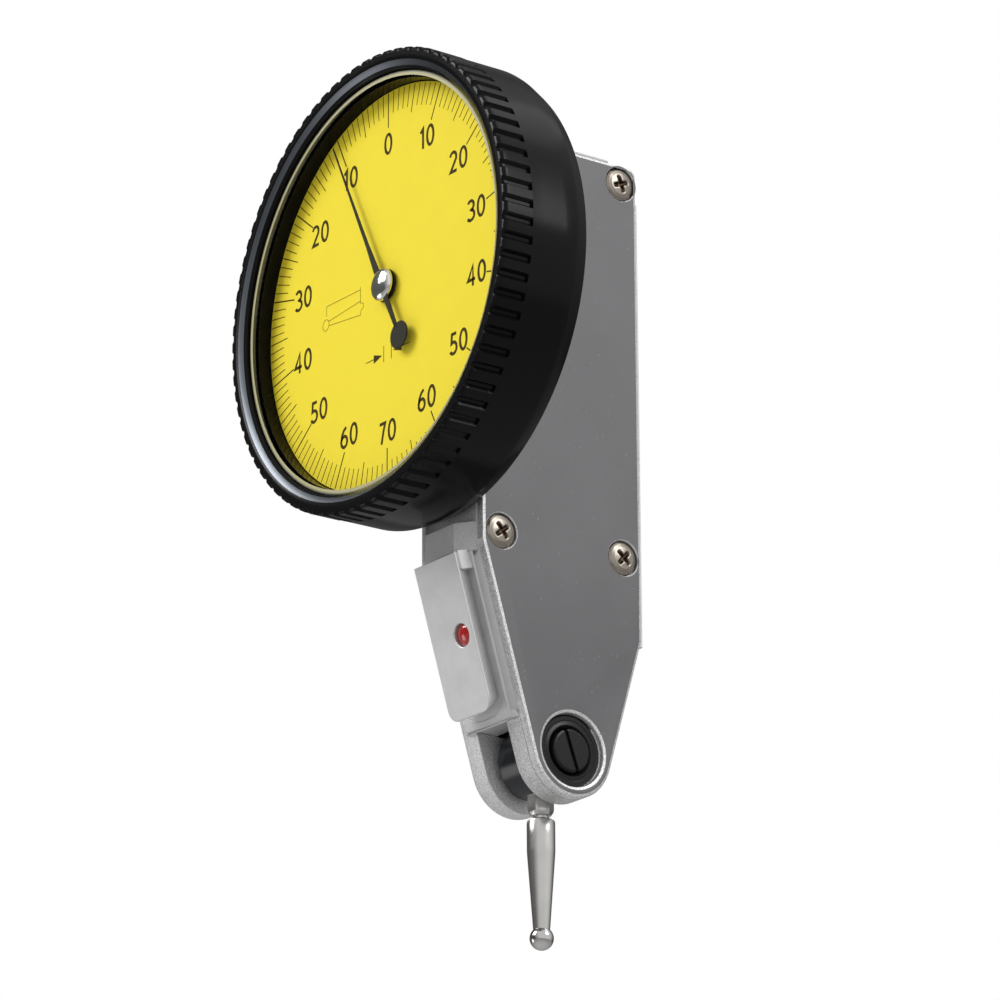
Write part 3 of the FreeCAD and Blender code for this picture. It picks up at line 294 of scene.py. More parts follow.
# Blasted die casting: fine bright grain over dull metal; marked faces are paler and smoother: the machined dovetails
# fully, and the neck in part, where the paler colour is painted light against the bezel's shade.
def castMetal():
    f = Finish("castMetal")
    machinedAndPaintedLight = f.mark()
    grain = f.noise(0.13, 2, 0.7)
    fine = f.noise(0.05, 2, 0.6)
    cloud = f.noise(2.5, 3, 0.6)
    rough = f.mixed(grain.ramp(0.36, 0.62), grey(0.52), grey(0.78))
    smooth = f.mixed(cloud.ramp(0.35, 0.65), grey(0.60), grey(0.68))
    smooth = f.mixed(fine.ramp(0.3, 0.6) * 0.5, smooth, grey(0.54))
    f.set("Base Color", f.mixed(machinedAndPaintedLight, rough, smooth))
    f.set("Metallic", 0.85 - 0.4 * machinedAndPaintedLight)
    f.set("Roughness", 0.46 + 0.10 * fine)
    f.bump(grain * (1.0 - 0.75 * machinedAndPaintedLight) + 0.4 * fine, 0.05)
    return f.material


# Grey satin paint on the marked face, with a few light specks; the bevel and edges are bare bright metal.
def framePaint():
    f = Finish("framePaint")
    painted = f.mark().ramp(0.45, 0.55)
    grain = f.noise(0.13, 2, 0.7)
    speck = f.noise(0.30, 1, 0.5).ramp(0.72, 0.76)
    cloud = f.noise(8.0, 3, 0.55)
    paint = f.mixed(cloud.ramp(0.3, 0.7), (0.118, 0.118, 0.123, 1), (0.140, 0.140, 0.146, 1))
    paint = f.mixed(speck * 0.35, paint, grey(0.34))
    metal = f.mixed(grain.ramp(0.36, 0.62), grey(0.42), grey(0.74))
    f.set("Base Color", f.mixed(painted, metal, paint))
    f.set("Metallic", 0.85 - 0.85 * painted)
    f.set("Roughness", 0.42 + 0.06 * cloud)
    f.bump(grain * (1.0 - 0.92 * painted), 0.045)
    return f.material


# One colour with a slight cloud, a fine grain in the roughness and a very shallow bump;
# where a second colour is given, marked faces take it: for the cover screws a dark brown painted shade inside the cross
# recess.
def simple(name, colour, metallic, roughness, size=0.3, spread=0.06, depth=0.003, stretch=(1, 1, 1), recessShadeColour=None, **more):
    f = Finish(name, Metallic=metallic, **more)
    cloud = f.noise(size * 12, 2, 0.5)
    grain = f.noise(size, 3, 0.6, stretch)
    dark = tuple(c * (1 - spread * 2) for c in colour) + (1,)
    shade = f.mixed(cloud.ramp(0.3, 0.7), dark, colour + (1,))
    f.set("Base Color", shade if recessShadeColour is None else f.mixed(f.mark(), shade, recessShadeColour + (1,)))
    f.set("Roughness", roughness - spread + 2 * spread * grain)
    f.bump(grain, depth)
    return f.material


# Gloss moulding: near black with a faint cloud in its sheen; marked edges get a brighter metallic grey, a painted
# highlight along the front lip.
def glossBlack():
    f = Finish("glossBlack", Specular_IOR_Level=0.09)
    cloud = f.noise(4.0, 3, 0.6)
    grain = f.noise(0.25, 2, 0.5)
    # The mark's brighter metallic grey is a painted highlight on the lip's slope.
    bright = f.mark()
    f.set("Base Color", f.mixed(bright, (0.0045, 0.0045, 0.005, 1), (0.115, 0.125, 0.14, 1)))
    f.set("Metallic", bright)
    f.set("Roughness", 0.13 + 0.05 * cloud + 0.05 * grain + 0.15 * bright)
    f.bump(grain, 0.0015)
    return f.material


# Clear window: see-through, with a faint sheen on its outer side; its marked edge is an opaque pale yellow-grey, a
# painted highlight on the crystal's chamfer.
def clearGlass():
    f = Finish("clearGlass", Roughness=0.35)
    cloud = f.noise(1.5, 2, 0.5)
    # The marked edge's pale yellow-grey is a painted highlight on the chamfer.
    edge = f.mark()
    f.set("Base Color", f.mixed(edge, (0.10, 0.11, 0.11, 1), (0.46, 0.43, 0.22, 1)))
    f.set("Coat Weight", 0.5 + 0.3 * cloud)
    outer = 1.0 - f.add("ShaderNodeNewGeometry", {}, {}, "Backfacing")
    sheen = f.add("ShaderNodeFresnel", {}, {"IOR": 1.3}) * outer * 0.12
    clear = f.add("ShaderNodeBsdfTransparent", {}, {"Color": (0.985, 0.99, 0.985, 1)})
    gloss = f.add("ShaderNodeBsdfGlossy", {}, {"Color": (1, 1, 1, 1), "Roughness": 0.03})
    window = f.add("ShaderNodeMixShader", {}, {0: sheen, 1: clear, 2: gloss})
    pale = Value(f, f.shader.outputs[0])
    both = f.add("ShaderNodeMixShader", {}, {0: edge.ramp(0.1, 0.3), 1: window, 2: pale})
    f.tree.links.new(both.socket, f.output.inputs[0])
    return f.material


materials = {
    "cast": castMetal(),
    "frame": framePaint(),
    "black": glossBlack(),
    "yellow": simple("dialYellow", (0.92, 0.735, 0.045), 0, 0.6, 0.2, 0.01, 0.001, Specular_IOR_Level=0.08),
    "ink": simple("dialInk", (0.055, 0.036, 0.004), 0, 0.6, 0.2, 0.02, 0.001, Specular_IOR_Level=0.08),
    "fineInk": simple("fineInk", (0.22, 0.165, 0.010), 0, 0.6, 0.2, 0.02, 0.001, Specular_IOR_Level=0.08),
    "pointer": simple("pointerBlack", (0.022, 0.018, 0.010), 0, 0.45, 0.2, 0.03, 0.001, Specular_IOR_Level=0.15),
    "chrome": simple("bossChrome", (0.72, 0.71, 0.69), 1, 0.12, 0.2, 0.03, 0.001),
    "steel": simple("stemSteel", (0.50, 0.49, 0.475), 1, 0.24, 0.18, 0.05, 0.0015, (6, 6, 0.5)),
    "ball": simple("ballPolish", (0.50, 0.49, 0.48), 1, 0.07, 0.3, 0.02, 0.0005),
    # The screws' second colour is a dark painted shade for the inside of the cross recess.
    "nickel": simple("screwNickel", (0.27, 0.24, 0.205), 1, 0.28, 0.25, 0.06, 0.003, recessShadeColour=(0.075, 0.05, 0.035)),
    "oxide": simple("blackOxide", (0.008, 0.008, 0.009), 0, 0.26, 0.2, 0.06, 0.003, Specular_IOR_Level=0.2),
    "drum": simple("drumBlack", (0.008, 0.009, 0.012), 0, 0.22, 0.2, 0.06, 0.002, Specular_IOR_Level=0.35),
    "spring": simple("springSteel", (0.40, 0.39, 0.37), 1, 0.35, 0.2, 0.05, 0.002),
    "bronze": simple("leverBronze", (0.36, 0.23, 0.15), 1, 0.36, 0.2, 0.06, 0.003),
    "brass": simple("movementBrass", (0.70, 0.52, 0.22), 1, 0.3, 0.2, 0.06, 0.002, (1, 1, 8)),
    "bearing": simple("bearingBronze", (0.50, 0.32, 0.16), 1, 0.35, 0.2, 0.06, 0.002),
    "turned": simple("turnedAluminium", (0.60, 0.61, 0.62), 1, 0.35, 0.2, 0.06, 0.002),
    "red": simple("redLacquer", (0.42, 0.010, 0.008), 0, 0.12, 0.3, 0.03, 0.002, Coat_Weight=0.6),
    "glass": clearGlass(),
}
nodeMaterials = {
    "locating_dowels": "steel", "lever_stop_pins": "steel", "sensing_lever": "bronze",
    "clutch_retainer": "spring", "clutch_spring_washer": "spring", "dial_seat": "turned", "dial_seat_screws": "nickel",
    "bezel_snap_ring": "spring", "centre_arbor": "steel", "centre_bearings": "bearing", "centre_bracket": "brass",
    "centre_bracket_screw": "nickel", "crown_wheel": "brass", "crown_arbor": "steel", "transfer_wheel": "brass",
    "transfer_arbor": "steel", "arbor_jewels": "bearing", "movement_bridge": "brass",
    "movement_bridge_screws": "nickel", "hairspring": "spring", "hairspring_collet": "brass",
    "hairspring_stud": "steel", "left_pivot_screw": "oxide"}
for node, key in nodeMaterials.items():
    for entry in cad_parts[node].material_slots:
        entry.material = materials[key]
print("materials made")


# Place across of the tapered nose at a height: side -1 is its front, 1 its back.
def flank(z, side):
    t = housing["taper"]
    return pivotY + side * (housing["noseRadius"] / math.cos(t) + (z - pivotZ) * math.tan(t))


# Height at which the tapered nose reaches a place across.
def shoulder(side, y):
    t = housing["taper"]
    return pivotZ + (side * (y - pivotY) - housing["noseRadius"] / math.cos(t)) / math.tan(t)


noseApex = (pivotY, pivotZ - housing["noseRadius"] / math.sin(housing["taper"]))


# The whole side outline: straight back and front, a taper and the round nose.
def fullOutline():
    h = housing
    points = [(h["front"], h["top"]), (h["front"], shoulder(-1, h["front"])), noseApex,
              (h["back"], shoulder(1, h["back"])), (h["back"], h["top"])]
    return smoothed(points, [0.25, 0.6, h["noseRadius"], 0.4, 0.8])


# The nose alone, cut level at a height.
def noseOutline(top):
    return smoothed([(flank(top, -1), top), noseApex, (flank(top, 1), top)], [0, housing["noseRadius"], 0])


# Housing above the fork's gap, with an arc of room for the drum in its lower edge.
def upperOutline():
    h = housing
    rise = h["gapTop"] - pivotZ
    end = math.asin(math.sqrt(h["drumRoom"] ** 2 - rise ** 2) / h["drumRoom"])
    turn = np.linspace(-end, end, 24)
    room = np.stack([pivotY + h["drumRoom"] * np.sin(turn), pivotZ + h["drumRoom"] * np.cos(turn)], 1).tolist()
    points = [(h["front"], h["top"]), (h["front"], shoulder(-1, h["front"])), (flank(h["gapTop"], -1), h["gapTop"])] + room
    points += [(flank(h["gapTop"], 1), h["gapTop"]), (h["back"], shoulder(1, h["back"])), (h["back"], h["top"])]
    return smoothed(points, [0.25, 0.6, 0.0] + [0.0] * len(room) + [0.0, 0.4, 0.8])


# Room for the movement: the outline moved in by the wall and cut level above the fork.
def cavityOutline():
    h = housing
    w, low = h["wall"], h["cavityFloor"]
    extra = w / math.cos(h["taper"])
    rise = (extra - w) / math.tan(h["taper"])
    points = [(h["front"] + w, h["top"] - w), (h["front"] + w, shoulder(-1, h["front"]) + rise),
              (flank(low, -1) + extra, low), (flank(low, 1) - extra, low),
              (h["back"] - w, shoulder(1, h["back"]) + rise), (h["back"] - w, h["top"] - w)]
    return smoothed(points, [0.3] * 6)


# Quarter round from a flat end to the side, as (inset, height) points.
def edgeArc(radius, start, sign, steps=6):
    turn = np.linspace(0, math.pi / 2, steps)
    return [(radius * (1 - math.sin(a)), start + sign * radius * (1 - math.cos(a))) for a in turn]


# Floor slab, left cheek and upper walls, which stand on each other.
def castingShells():
    h = housing
    e = h["forkEdge"]
    floor = plate(fullOutline(), [(h["edge"] + 0.05, h["left"])] + edgeArc(h["edge"], h["left"], 1) + [(0, h["floor"])], sideFrame)
    cheek = plate(noseOutline(h["gapTop"]), [(0, h["floor"]), (0, h["forkLeft"] - e), (e * 0.3, h["forkLeft"] - e * 0.3),
                                             (e, h["forkLeft"])], sideFrame)
    walls = plate(upperOutline(), [(0, h["floor"]), (0, h["seam"] - h["seamEdge"]), (h["seamEdge"], h["seam"])], sideFrame,
                  [(cavityOutline(), [(0, h["floor"]), (0, h["seam"])], False)])
    return [floor, cheek, walls]


dovetail = {"half": 2.93, "height": 2.0, "flank": math.radians(30), "length": 13.5, "drop": 0.55, "cutter": 1.7,
            "corner": 1.2, "edge": 0.14, "channelStart": 1.6, "lipHeight": 0.14, "footHalf": 3.75, "footTop": 3.05,
            "rearDepth": 1.35, "rearTop": 12.2, "rearBottom": -28.0, "topHeight": 1.05, "topFront": -15.35, "topLength": 12.3,
            "ridgeHeight": 1.15, "ridgeHalf": 2.0, "ridgeFoot": 3.6, "ridgeTop": -20.35}
seal = {"radius": 0.94, "room": 0.98, "recess": 0.10, "dome": 1.7, "side": 1.25, "down": 6.8}


# On the nose's sloped front: a is across, b runs up the slope, h stands out of it.
def slopeFrame():
    t = housing["taper"]
    down = np.array([0, math.sin(t), -math.cos(t)])
    out = np.array([0, -math.cos(t), -math.sin(t)])
    start = np.array([0, housing["front"], shoulder(-1, housing["front"])])
    return axisFrame(start + down * dovetail["drop"], (1, 0, 0), -down, out)


# Rectangle below the frame's origin with its two lower corners rounded.
def hanging(half, top, length, corner):
    return smoothed([(-half, top), (-half, -length), (half, -length), (half, top)], [0.0, corner, corner, 0.0])


# Dovetail body with a dimple for the seal, its solid upper end, the foot, and the lip beside the cutter's path.
def frontDovetailShells():
    d = dovetail
    where, lean = slopeFrame(), math.tan(d["flank"])
    low, high, e = d["height"] - d["cutter"], d["height"], d["edge"]
    dimple = circle(seal["room"], (seal["side"], -seal["down"]), 48)
    rim = [(0, high - 0.7), (0, high - 0.08), (0.08, high)]
    flankSteps = [(d["cutter"] * lean, low), (e * lean, high - e), (e * 0.6, high - e * 0.3), (e + 0.02, high)]
    body = plate(hanging(d["half"], 0.0, d["length"], d["corner"]), flankSteps, where, [(dimple, rim, True)], [1.0] * 4)
    solid = plate(hanging(d["half"] - 0.02, -0.02, d["channelStart"], 0.05),
                  [(0, low - 0.2), (0, high - e - 0.25), (0.25, high - 0.12)], where, mark=[1.0] * 3)
    depth = (where["origin"][2] - housing["gapTop"]) / math.cos(housing["taper"])
    footEdge = smoothed([(-d["footHalf"], -0.2), (-d["footHalf"], -depth - 0.1), (d["footHalf"], -depth - 0.1),
                         (d["footHalf"], -0.2)], [0.0, 0.05, 0.05, 0.0])
    foot = plate(footEdge, [(0, -0.9), (0, -0.1), (0.1, 0.0), (d["footHalf"] - d["footTop"], low)], where, mark=[1.0] * 4)
    lipHole = smoothed([(-d["half"] - 0.02, -d["channelStart"]), (-d["half"] - 0.02, -d["length"] - 0.35),
                        (d["half"] + 0.02, -d["length"] - 0.35), (d["half"] + 0.02, -d["channelStart"])], [0.02, 2.2, 2.2, 0.02])
    lipEdge = hanging(d["footTop"] + 0.05, -0.1, depth - 0.05, 0.1)
    lip = plate(lipEdge, [(0, low - 0.1), (0, low), (d["lipHeight"] * 0.7, low + d["lipHeight"])], where,
                [(lipHole, [(0, low - 0.1), (0, low + d["lipHeight"] - 0.03), (0.03, low + d["lipHeight"])], False)], [1.0] * 3)
    return [body, solid, foot, lip]


# Bar: a closed section carried straight from a start along a direction, with a small bevel at each end.
def beam(section, start, along, length, mark=1.0):
    where = axisFrame(start, (1, 0, 0), np.cross(along, (1, 0, 0)), along)
    return plate(section, [(0.08, 0), (0, 0.08), (0, length - 0.08), (0.08, length)], where, mark=[mark] * 4)


# Rear and top dovetails and the raised neck under the bezel; the neck's mark of 0.6 paints it paler, as painted light
# against the bezel's shade.
def otherDovetailShells():
    d = dovetail
    lean = math.tan(d["flank"])
    deep, tall, rise = d["rearDepth"], d["topHeight"], d["ridgeHeight"]
    root = d["half"] - deep * lean
    rear = smoothed([(-root, -deep - 0.2), (root, -deep - 0.2), (root, -deep), (d["half"], 0), (-d["half"], 0), (-root, -deep)],
                    [0, 0, 0, 0.12, 0.12, 0])
    root = d["half"] - tall * lean
    top = smoothed([(-root, -0.2), (root, -0.2), (root, 0), (d["half"], tall), (-d["half"], tall), (-root, 0)],
                   [0, 0, 0, 0.12, 0.12, 0])
    neck = smoothed([(-d["ridgeFoot"], -0.3), (d["ridgeFoot"], -0.3), (d["ridgeFoot"], 0), (d["ridgeHalf"], rise),
                     (-d["ridgeHalf"], rise), (-d["ridgeFoot"], 0)], [0, 0, 0.1, 0.1, 0.1, 0.1])
    bottom = slopeFrame()["origin"][2] - 0.3
    where = axisFrame((0, housing["front"], bottom), (-1, 0, 0), (0, -1, 0), (0, 0, 1))
    # The neck's mark lightens its colour as painted light where the bezel shades it.
    return [beam(rear, (0, 0, d["rearBottom"]), (0, 0, 1), d["rearTop"] - d["rearBottom"]),
            beam(top, (0, d["topFront"] + d["topLength"], housing["top"]), (0, -1, 0), d["topLength"]),
            plate(neck, [(0, 0), (0, d["ridgeTop"] - bottom - 0.1), (0.1, d["ridgeTop"] - bottom)], where, mark=[0.6] * 3)]


makePiece("bodyCasting", castingShells() + frontDovetailShells() + otherDovetailShells(), materials["cast"],
          "housing", ["body_casting"])
print("casting made")

sidePlate = {"bevel": 0.3, "pivotHole": 3.08, "screws": [(-15.87, -21.12), (-3.23, -21.07), (-3.05, 12.87)],
             "recess": 1.6, "recessDepth": 0.5, "seamGap": 0.1}


# Cover plate with a bare bevel round it and round the pivot's hole, and the right cheek behind its nose.
def sideFrameShells():
    h, p = housing, sidePlate
    b, right = p["bevel"], h["right"]
    outer = [(0.06, h["seam"]), (0, h["seam"] + 0.06), (0, right - b), (b * 0.3, right - b * 0.3), (b, right - 0.01), (b + 0.03, right)]
    hole = circle(p["pivotHole"], (pivotY, pivotZ), 96)
    holes = [(hole, [(0, h["seam"]), (0, right - b), (b * 0.3, right - b * 0.3), (b, right - 0.01), (b + 0.03, right)], False)]
    deep = right - p["recessDepth"]
    steps = [(0, deep), (0, right - 0.1), (0.07, right - 0.02), (0.1, right)]
    holes += [(circle(p["recess"] - 0.05, place, 64), steps, True) for place in p["screws"]]
    cover = plate(fullOutline(), outer, sideFrame, holes, [0, 0, 0, 0, 0, 1])
    cheek = plate(noseOutline(h["gapTop"] - p["seamGap"]),
                  [(0.12, h["forkRight"]), (0.03, h["forkRight"] + 0.04), (0, h["forkRight"] + 0.12), (0, h["seam"])],
                  sideFrame, [(hole, [(0, h["forkRight"]), (0, h["seam"])], False)])
    return [cover, cheek]


makePiece("sideFrame", sideFrameShells(), materials["frame"], "housing", ["side_frame"])
print("side frame made")


# Screw head over a polar grid: a crown profile less a recess, marked inside the recess, where the cover screws take a
# dark painted shade; its side drops to the seat.
def headShell(profile, where, recess, floor, steps=96, rings=46):
    radius = profile[-1][0]
    ring = np.linspace(0, radius, rings)
    crown = np.interp(ring, [p[0] for p in profile], [p[1] for p in profile])
    ring, crown = np.append(ring, [radius, 0.0]), np.append(crown, [floor, floor])
    turn = np.linspace(0, 2 * np.pi, steps, endpoint=False)[:, None]
    a, b = ring * np.sin(turn), ring * np.cos(turn)
    share = recess(a, b) * (np.arange(len(ring)) < rings - 1)
    # The mark inside the recess carries the cover screws' painted shade colour.
    return grid(placed(a, b, crown - share, where), np.clip(share / 0.15, 0, 1))


# Smooth step from 1 below the edge to 0 above it.
def step(value, edge, width):
    return 1 / (1 + np.exp(np.clip((value - edge) / width, -40, 40)))


crossScrew = {"profile": [(0, 0.46), (0.55, 0.44), (0.95, 0.38), (1.25, 0.27), (1.42, 0.14), (1.48, 0.0)],
              "arm": 0.16, "reach": 0.72, "depth": 0.34, "turns": (math.radians(38), math.radians(48), math.radians(20))}


# Depth of a cross recess at a turn: two bars, deepest in the middle.
def crossRecess(turnAngle):
    c = crossScrew

    def depth(a, b):
        u = a * math.cos(turnAngle) + b * math.sin(turnAngle)
        v = -a * math.sin(turnAngle) + b * math.cos(turnAngle)
        arms = np.maximum(step(np.abs(u), c["arm"], 0.025) * step(np.abs(v), c["reach"], 0.04),
                          step(np.abs(v), c["arm"], 0.025) * step(np.abs(u), c["reach"], 0.04))
        return arms * c["depth"] * np.clip(1.3 - np.hypot(a, b) / c["reach"] * 0.7, 0.3, 1.2)
    return depth


screws = []
for (y, z), turned in zip(sidePlate["screws"], crossScrew["turns"]):
    where = axisFrame((housing["right"] - 0.32, y, z), (0, 1, 0), (0, 0, 1), (1, 0, 0))
    screws.append(headShell(crossScrew["profile"], where, crossRecess(turned), -0.17))
makePiece("coverScrews", screws, materials["nickel"], "housing", ["side_frame_screws"], sharp=50)

pivot = {"ringOuter": 3.06, "ringInner": 1.98, "ringTop": 4.05, "ringBottom": 2.2,
         "head": 1.85, "headTop": 4.3, "headBottom": 2.8, "slot": 0.15, "slotDepth": 0.3, "slotTurn": math.radians(19.5)}


# Depth of a straight slot across a head.
def slotRecess(a, b):
    across = a * math.cos(pivot["slotTurn"]) + b * math.sin(pivot["slotTurn"])
    return step(np.abs(across), pivot["slot"], 0.012) * pivot["slotDepth"]


ring = [(pivot["ringInner"], pivot["ringBottom"]), (pivot["ringOuter"], pivot["ringBottom"]),
        (pivot["ringOuter"], pivot["ringTop"] - 0.12), (pivot["ringOuter"] - 0.12, pivot["ringTop"]), (2.62, pivot["ringTop"]),
        (2.55, pivot["ringTop"] - 0.04), (2.40, pivot["ringTop"] - 0.04), (2.32, pivot["ringTop"]), (pivot["ringInner"] + 0.2, pivot["ringTop"]),
        (pivot["ringInner"], pivot["ringTop"] - 0.2), (pivot["ringInner"], pivot["ringBottom"])]
makePiece("pivotRing", [revolved(ring, pivotFrame, 96)], materials["oxide"], "housing", ["pivot_lock_ring"])
headFrame = axisFrame((pivot["headTop"], pivotY, pivotZ), (0, 1, 0), (0, 0, 1), (1, 0, 0))
headProfile = [(0, 0), (pivot["head"] - 0.2, 0), (pivot["head"] - 0.06, -0.05), (pivot["head"], -0.18)]
shank = revolved([(0, -0.05), (0.55, -0.05), (0.55, 1.85), (1.18, 1.85), (1.18, 2.82), (0, 2.82)], pivotFrame, 48)
makePiece("pivotScrew", [headShell(headProfile, headFrame, slotRecess, pivot["headBottom"] - pivot["headTop"], 240, 70), shank],
          materials["oxide"], "housing", ["right_pivot_screw"], sharp=50)


# Domed dot of lacquer, set a little below the dovetail's face.
def sealShell():
    where = slopeFrame()
    centre = placed(np.array(seal["side"]), np.array(-seal["down"]), np.array(dovetail["height"]), where)
    where = axisFrame(centre, where["a"], where["b"], where["h"])
    cap = np.linspace(0, seal["radius"], 14)
    cap = [(x, -seal["recess"] - seal["dome"] + math.sqrt(seal["dome"] ** 2 - x * x)) for x in cap]
    return revolved(cap + [(seal["radius"], -0.69), (0, -0.69)], where, 64)


makePiece("sealDot", [sealShell()], materials["red"], "housing", ["sealing_dot"])
print("pivot, screws and seal made")

bezel = {"grip": 20.0, "gripEnd": 0.3, "front": -2.52, "rim": 18.95, "skirt": 19.95, "skirtEnd": 4.85, "rear": 6.1,
         "rearRadius": 19.4, "band": 18.43, "crystal": 18.2, "sight": 17.65, "seatBore": 17.0, "flangeBore": 18.5,
         "flange": 4.6, "lip": 16.5, "grooves": 80, "depth": 0.32, "glassFront": -1.8, "glassBack": -1.2}


# Radius less a groove 80 times round, on the grip and fading in over its front edge.
def grooveWave(turn, radius, depth):
    b = bezel
    phase = (turn * b["grooves"] / (2 * np.pi)) % 1.0
    share = np.clip((0.25 - np.abs(phase - 0.5)) / 0.15, 0, 1)
    fade = np.clip((radius - 19.6) / 0.25, 0, 1) * (depth < b["gripEnd"])
    return radius - b["depth"] * share * share * (3 - 2 * share) * fade


# Bezel's section in (radius, depth, mark): front rim, grip, skirt, rear bore, sight wall, glass shelf, painted
# highlight band.
def bezelShell():
    b = bezel
    front = [(b["rim"], b["front"]), (19.3, b["front"]), (19.55, b["front"]), (19.6, b["front"]), (19.74, -2.51),
             (19.86, -2.46), (19.95, -2.37), (b["grip"], -2.25)]
    grip = [(b["grip"], y) for y in np.linspace(-2.0, b["gripEnd"] - 0.12, 8)]
    end = [(b["grip"], b["gripEnd"] - 0.01), (b["skirt"] + 0.001, b["gripEnd"] + 0.03), (b["skirt"], b["gripEnd"] + 0.06)]
    skirt = [(b["skirt"], 1.5), (b["skirt"], 3.5), (b["skirt"], b["skirtEnd"] - 0.1), (b["skirt"] - 0.03, b["skirtEnd"] + 0.05),
             (b["rearRadius"] + 0.06, b["rear"] - 0.12), (b["rearRadius"], b["rear"])]
    back = [(b["rearRadius"] - 0.05, b["rear"]), (b["flangeBore"], b["rear"]), (b["flangeBore"], b["flange"] - 0.3),
            (b["seatBore"], b["flange"] - 0.3), (b["seatBore"], 0.9), (b["lip"], 0.9), (b["lip"], 0.42)]
    wall = [(b["sight"], 0.42), (b["sight"], 0.1), (b["sight"], -0.4), (b["sight"], b["glassBack"] + 0.03),
            (b["sight"] + 0.03, b["glassBack"]), (b["crystal"], b["glassBack"]), (b["crystal"], -2.06), (b["band"] - 0.005, -2.245)]
    rows = [(r, y, 0) for r, y in front + grip + end + skirt + back + wall]
    # Mark 1 on the front lip's slope gives it the painted highlight band.
    rows += [(b["band"], -2.25, 1), (b["rim"] - 0.05, -2.49, 1), (b["rim"] - 0.045, -2.492, 0), (b["rim"], b["front"], 0)]
    return revolved([row[:2] for row in rows], dialFrame, 960, grooveWave, [row[2] for row in rows])


makePiece("bezelRing", [bezelShell()], materials["black"], "bezel_unit", ["bezel"], sharp=35)
# Mark 1 on the front chamfer, 0.35 round the rim: the crystal's painted highlight.
crystalRows = [(0, -1.8, 0), (10, -1.8, 0), (17.69, -1.8, 0), (17.7, -1.8, 1), (17.94, -1.8, 1), (17.95, -1.8, 0.35), (18.05, -1.8, 0.35),
               (18.15, -1.7, 0.35), (18.15, -1.2, 0.35), (17.71, -1.2, 0.35), (17.7, -1.2, 0), (0, -1.2, 0)]
crystalShell = revolved([row[:2] for row in crystalRows], dialFrame, 192, mark=[row[2] for row in crystalRows])
makePiece("crystalWindow", [crystalShell], materials["glass"], "bezel_unit", ["crystal"])

dial = {"edge": 17.6, "hole": 1.2, "thick": 0.4, "ink": 0.012, "divisions": 140, "outer": 17.5,
        "minor": (15.55, 0.075), "middle": (15.0, 0.09), "major": (14.35, 0.12),
        "numberRadius": 12.9, "numberHeight": 1.87, "stroke": 0.15, "gap": 0.36, "fine": 0.055}
dialProfile = [(dial["hole"], 0), (6, 0), (12, 0), (dial["edge"] - 0.03, 0), (dial["edge"], 0.03), (dial["edge"], dial["thick"]),
               (dial["hole"], dial["thick"]), (dial["hole"], 0)]
makePiece("dialFace", [revolved(dialProfile, dialFrame, 192)], materials["yellow"], "bezel_unit", ["dial_plate"])


# Thin printed bars: eight corners each, worked out for all turns at once.
def bars(turns, inner, outer, width):
    turns = np.asarray(turns, float)[:, None]
    along = np.array([inner, outer, outer, inner] * 2)[None]
    side = np.array([-0.5, -0.5, 0.5, 0.5] * 2)[None] * width
    high = np.array([-dial["ink"]] * 4 + [0.002] * 4)[None] + 0 * turns
    a = along * np.sin(turns) + side * np.cos(turns)
    b = along * np.cos(turns) - side * np.sin(turns)
    box = np.array([[0, 1, 2, 3], [7, 6, 5, 4], [0, 4, 5, 1], [1, 5, 6, 2], [2, 6, 7, 3], [3, 7, 4, 0]])
    quads = box[None] + 8 * np.arange(len(turns))[:, None, None]
    return shell(placed(a, b, high, dialFrame).reshape(-1, 3), quads)


# Graduation: 140 lines, a longer one at every fifth and the longest at every tenth.
def dialMarks():
    d = dial
    k = np.arange(d["divisions"])
    turn = 2 * np.pi * k / d["divisions"]
    major, middle = k % 10 == 0, k % 10 == 5
    return [bars(turn[chosen], d[name][0], d["outer"], d[name][1])
            for chosen, name in ((major, "major"), (middle, "middle"), (~(major | middle), "minor"))]


makePiece("dialMarks", dialMarks(), materials["ink"], "bezel_unit")


# Printed line of a width along a path: each corner is widened along the mean of its edges' normals.
def printed(path, width, closed=False):
    path = np.array(path, float)
    edge = np.roll(path, -1, 0) - path
    if not closed:
        edge[-1] = edge[-2]
    normal = np.stack([-edge[:, 1], edge[:, 0]], 1) / np.linalg.norm(edge, axis=1)[:, None]
    last = np.roll(normal, 1, 0)
    if not closed:
        last[0] = normal[0]
    widen = width / 2 * (normal + last) / np.maximum(1 + (normal * last).sum(1), 0.3)[:, None]
    rows = np.stack([path - widen, path + widen, path + widen, path - widen], 1)
    high = np.array([-dial["ink"], -dial["ink"], 0.002, 0.002])[None] + 0 * rows[..., 0]
    verts = placed(rows[..., 0], rows[..., 1], high, dialFrame)
    count = len(path)
    start = 4 * np.arange(count if closed else count - 1)[:, None, None]
    side = np.array([[0, 1], [1, 2], [2, 3], [3, 0]])[None]
    quads = np.stack([side[..., 0] + start[..., 0], side[..., 1] + start[..., 0],
                      (side[..., 1] + start[..., 0] + 4) % (4 * count), (side[..., 0] + start[..., 0] + 4) % (4 * count)], -1)
    ends = [] if closed else [[0, 1, 2, 3], [4 * count - 1, 4 * count - 2, 4 * count - 3, 4 * count - 4]]
    return shell(verts.reshape(-1, 3), quads.reshape(-1, 4).tolist() + ends)


# Part of an ellipse as points, from one turn to another in degrees.
def bow(centre, radii, start, end, steps=16):
    turn = np.radians(np.linspace(start, end, steps))
    return np.stack([centre[0] + radii[0] * np.cos(turn), centre[1] + radii[1] * np.sin(turn)], 1).tolist()


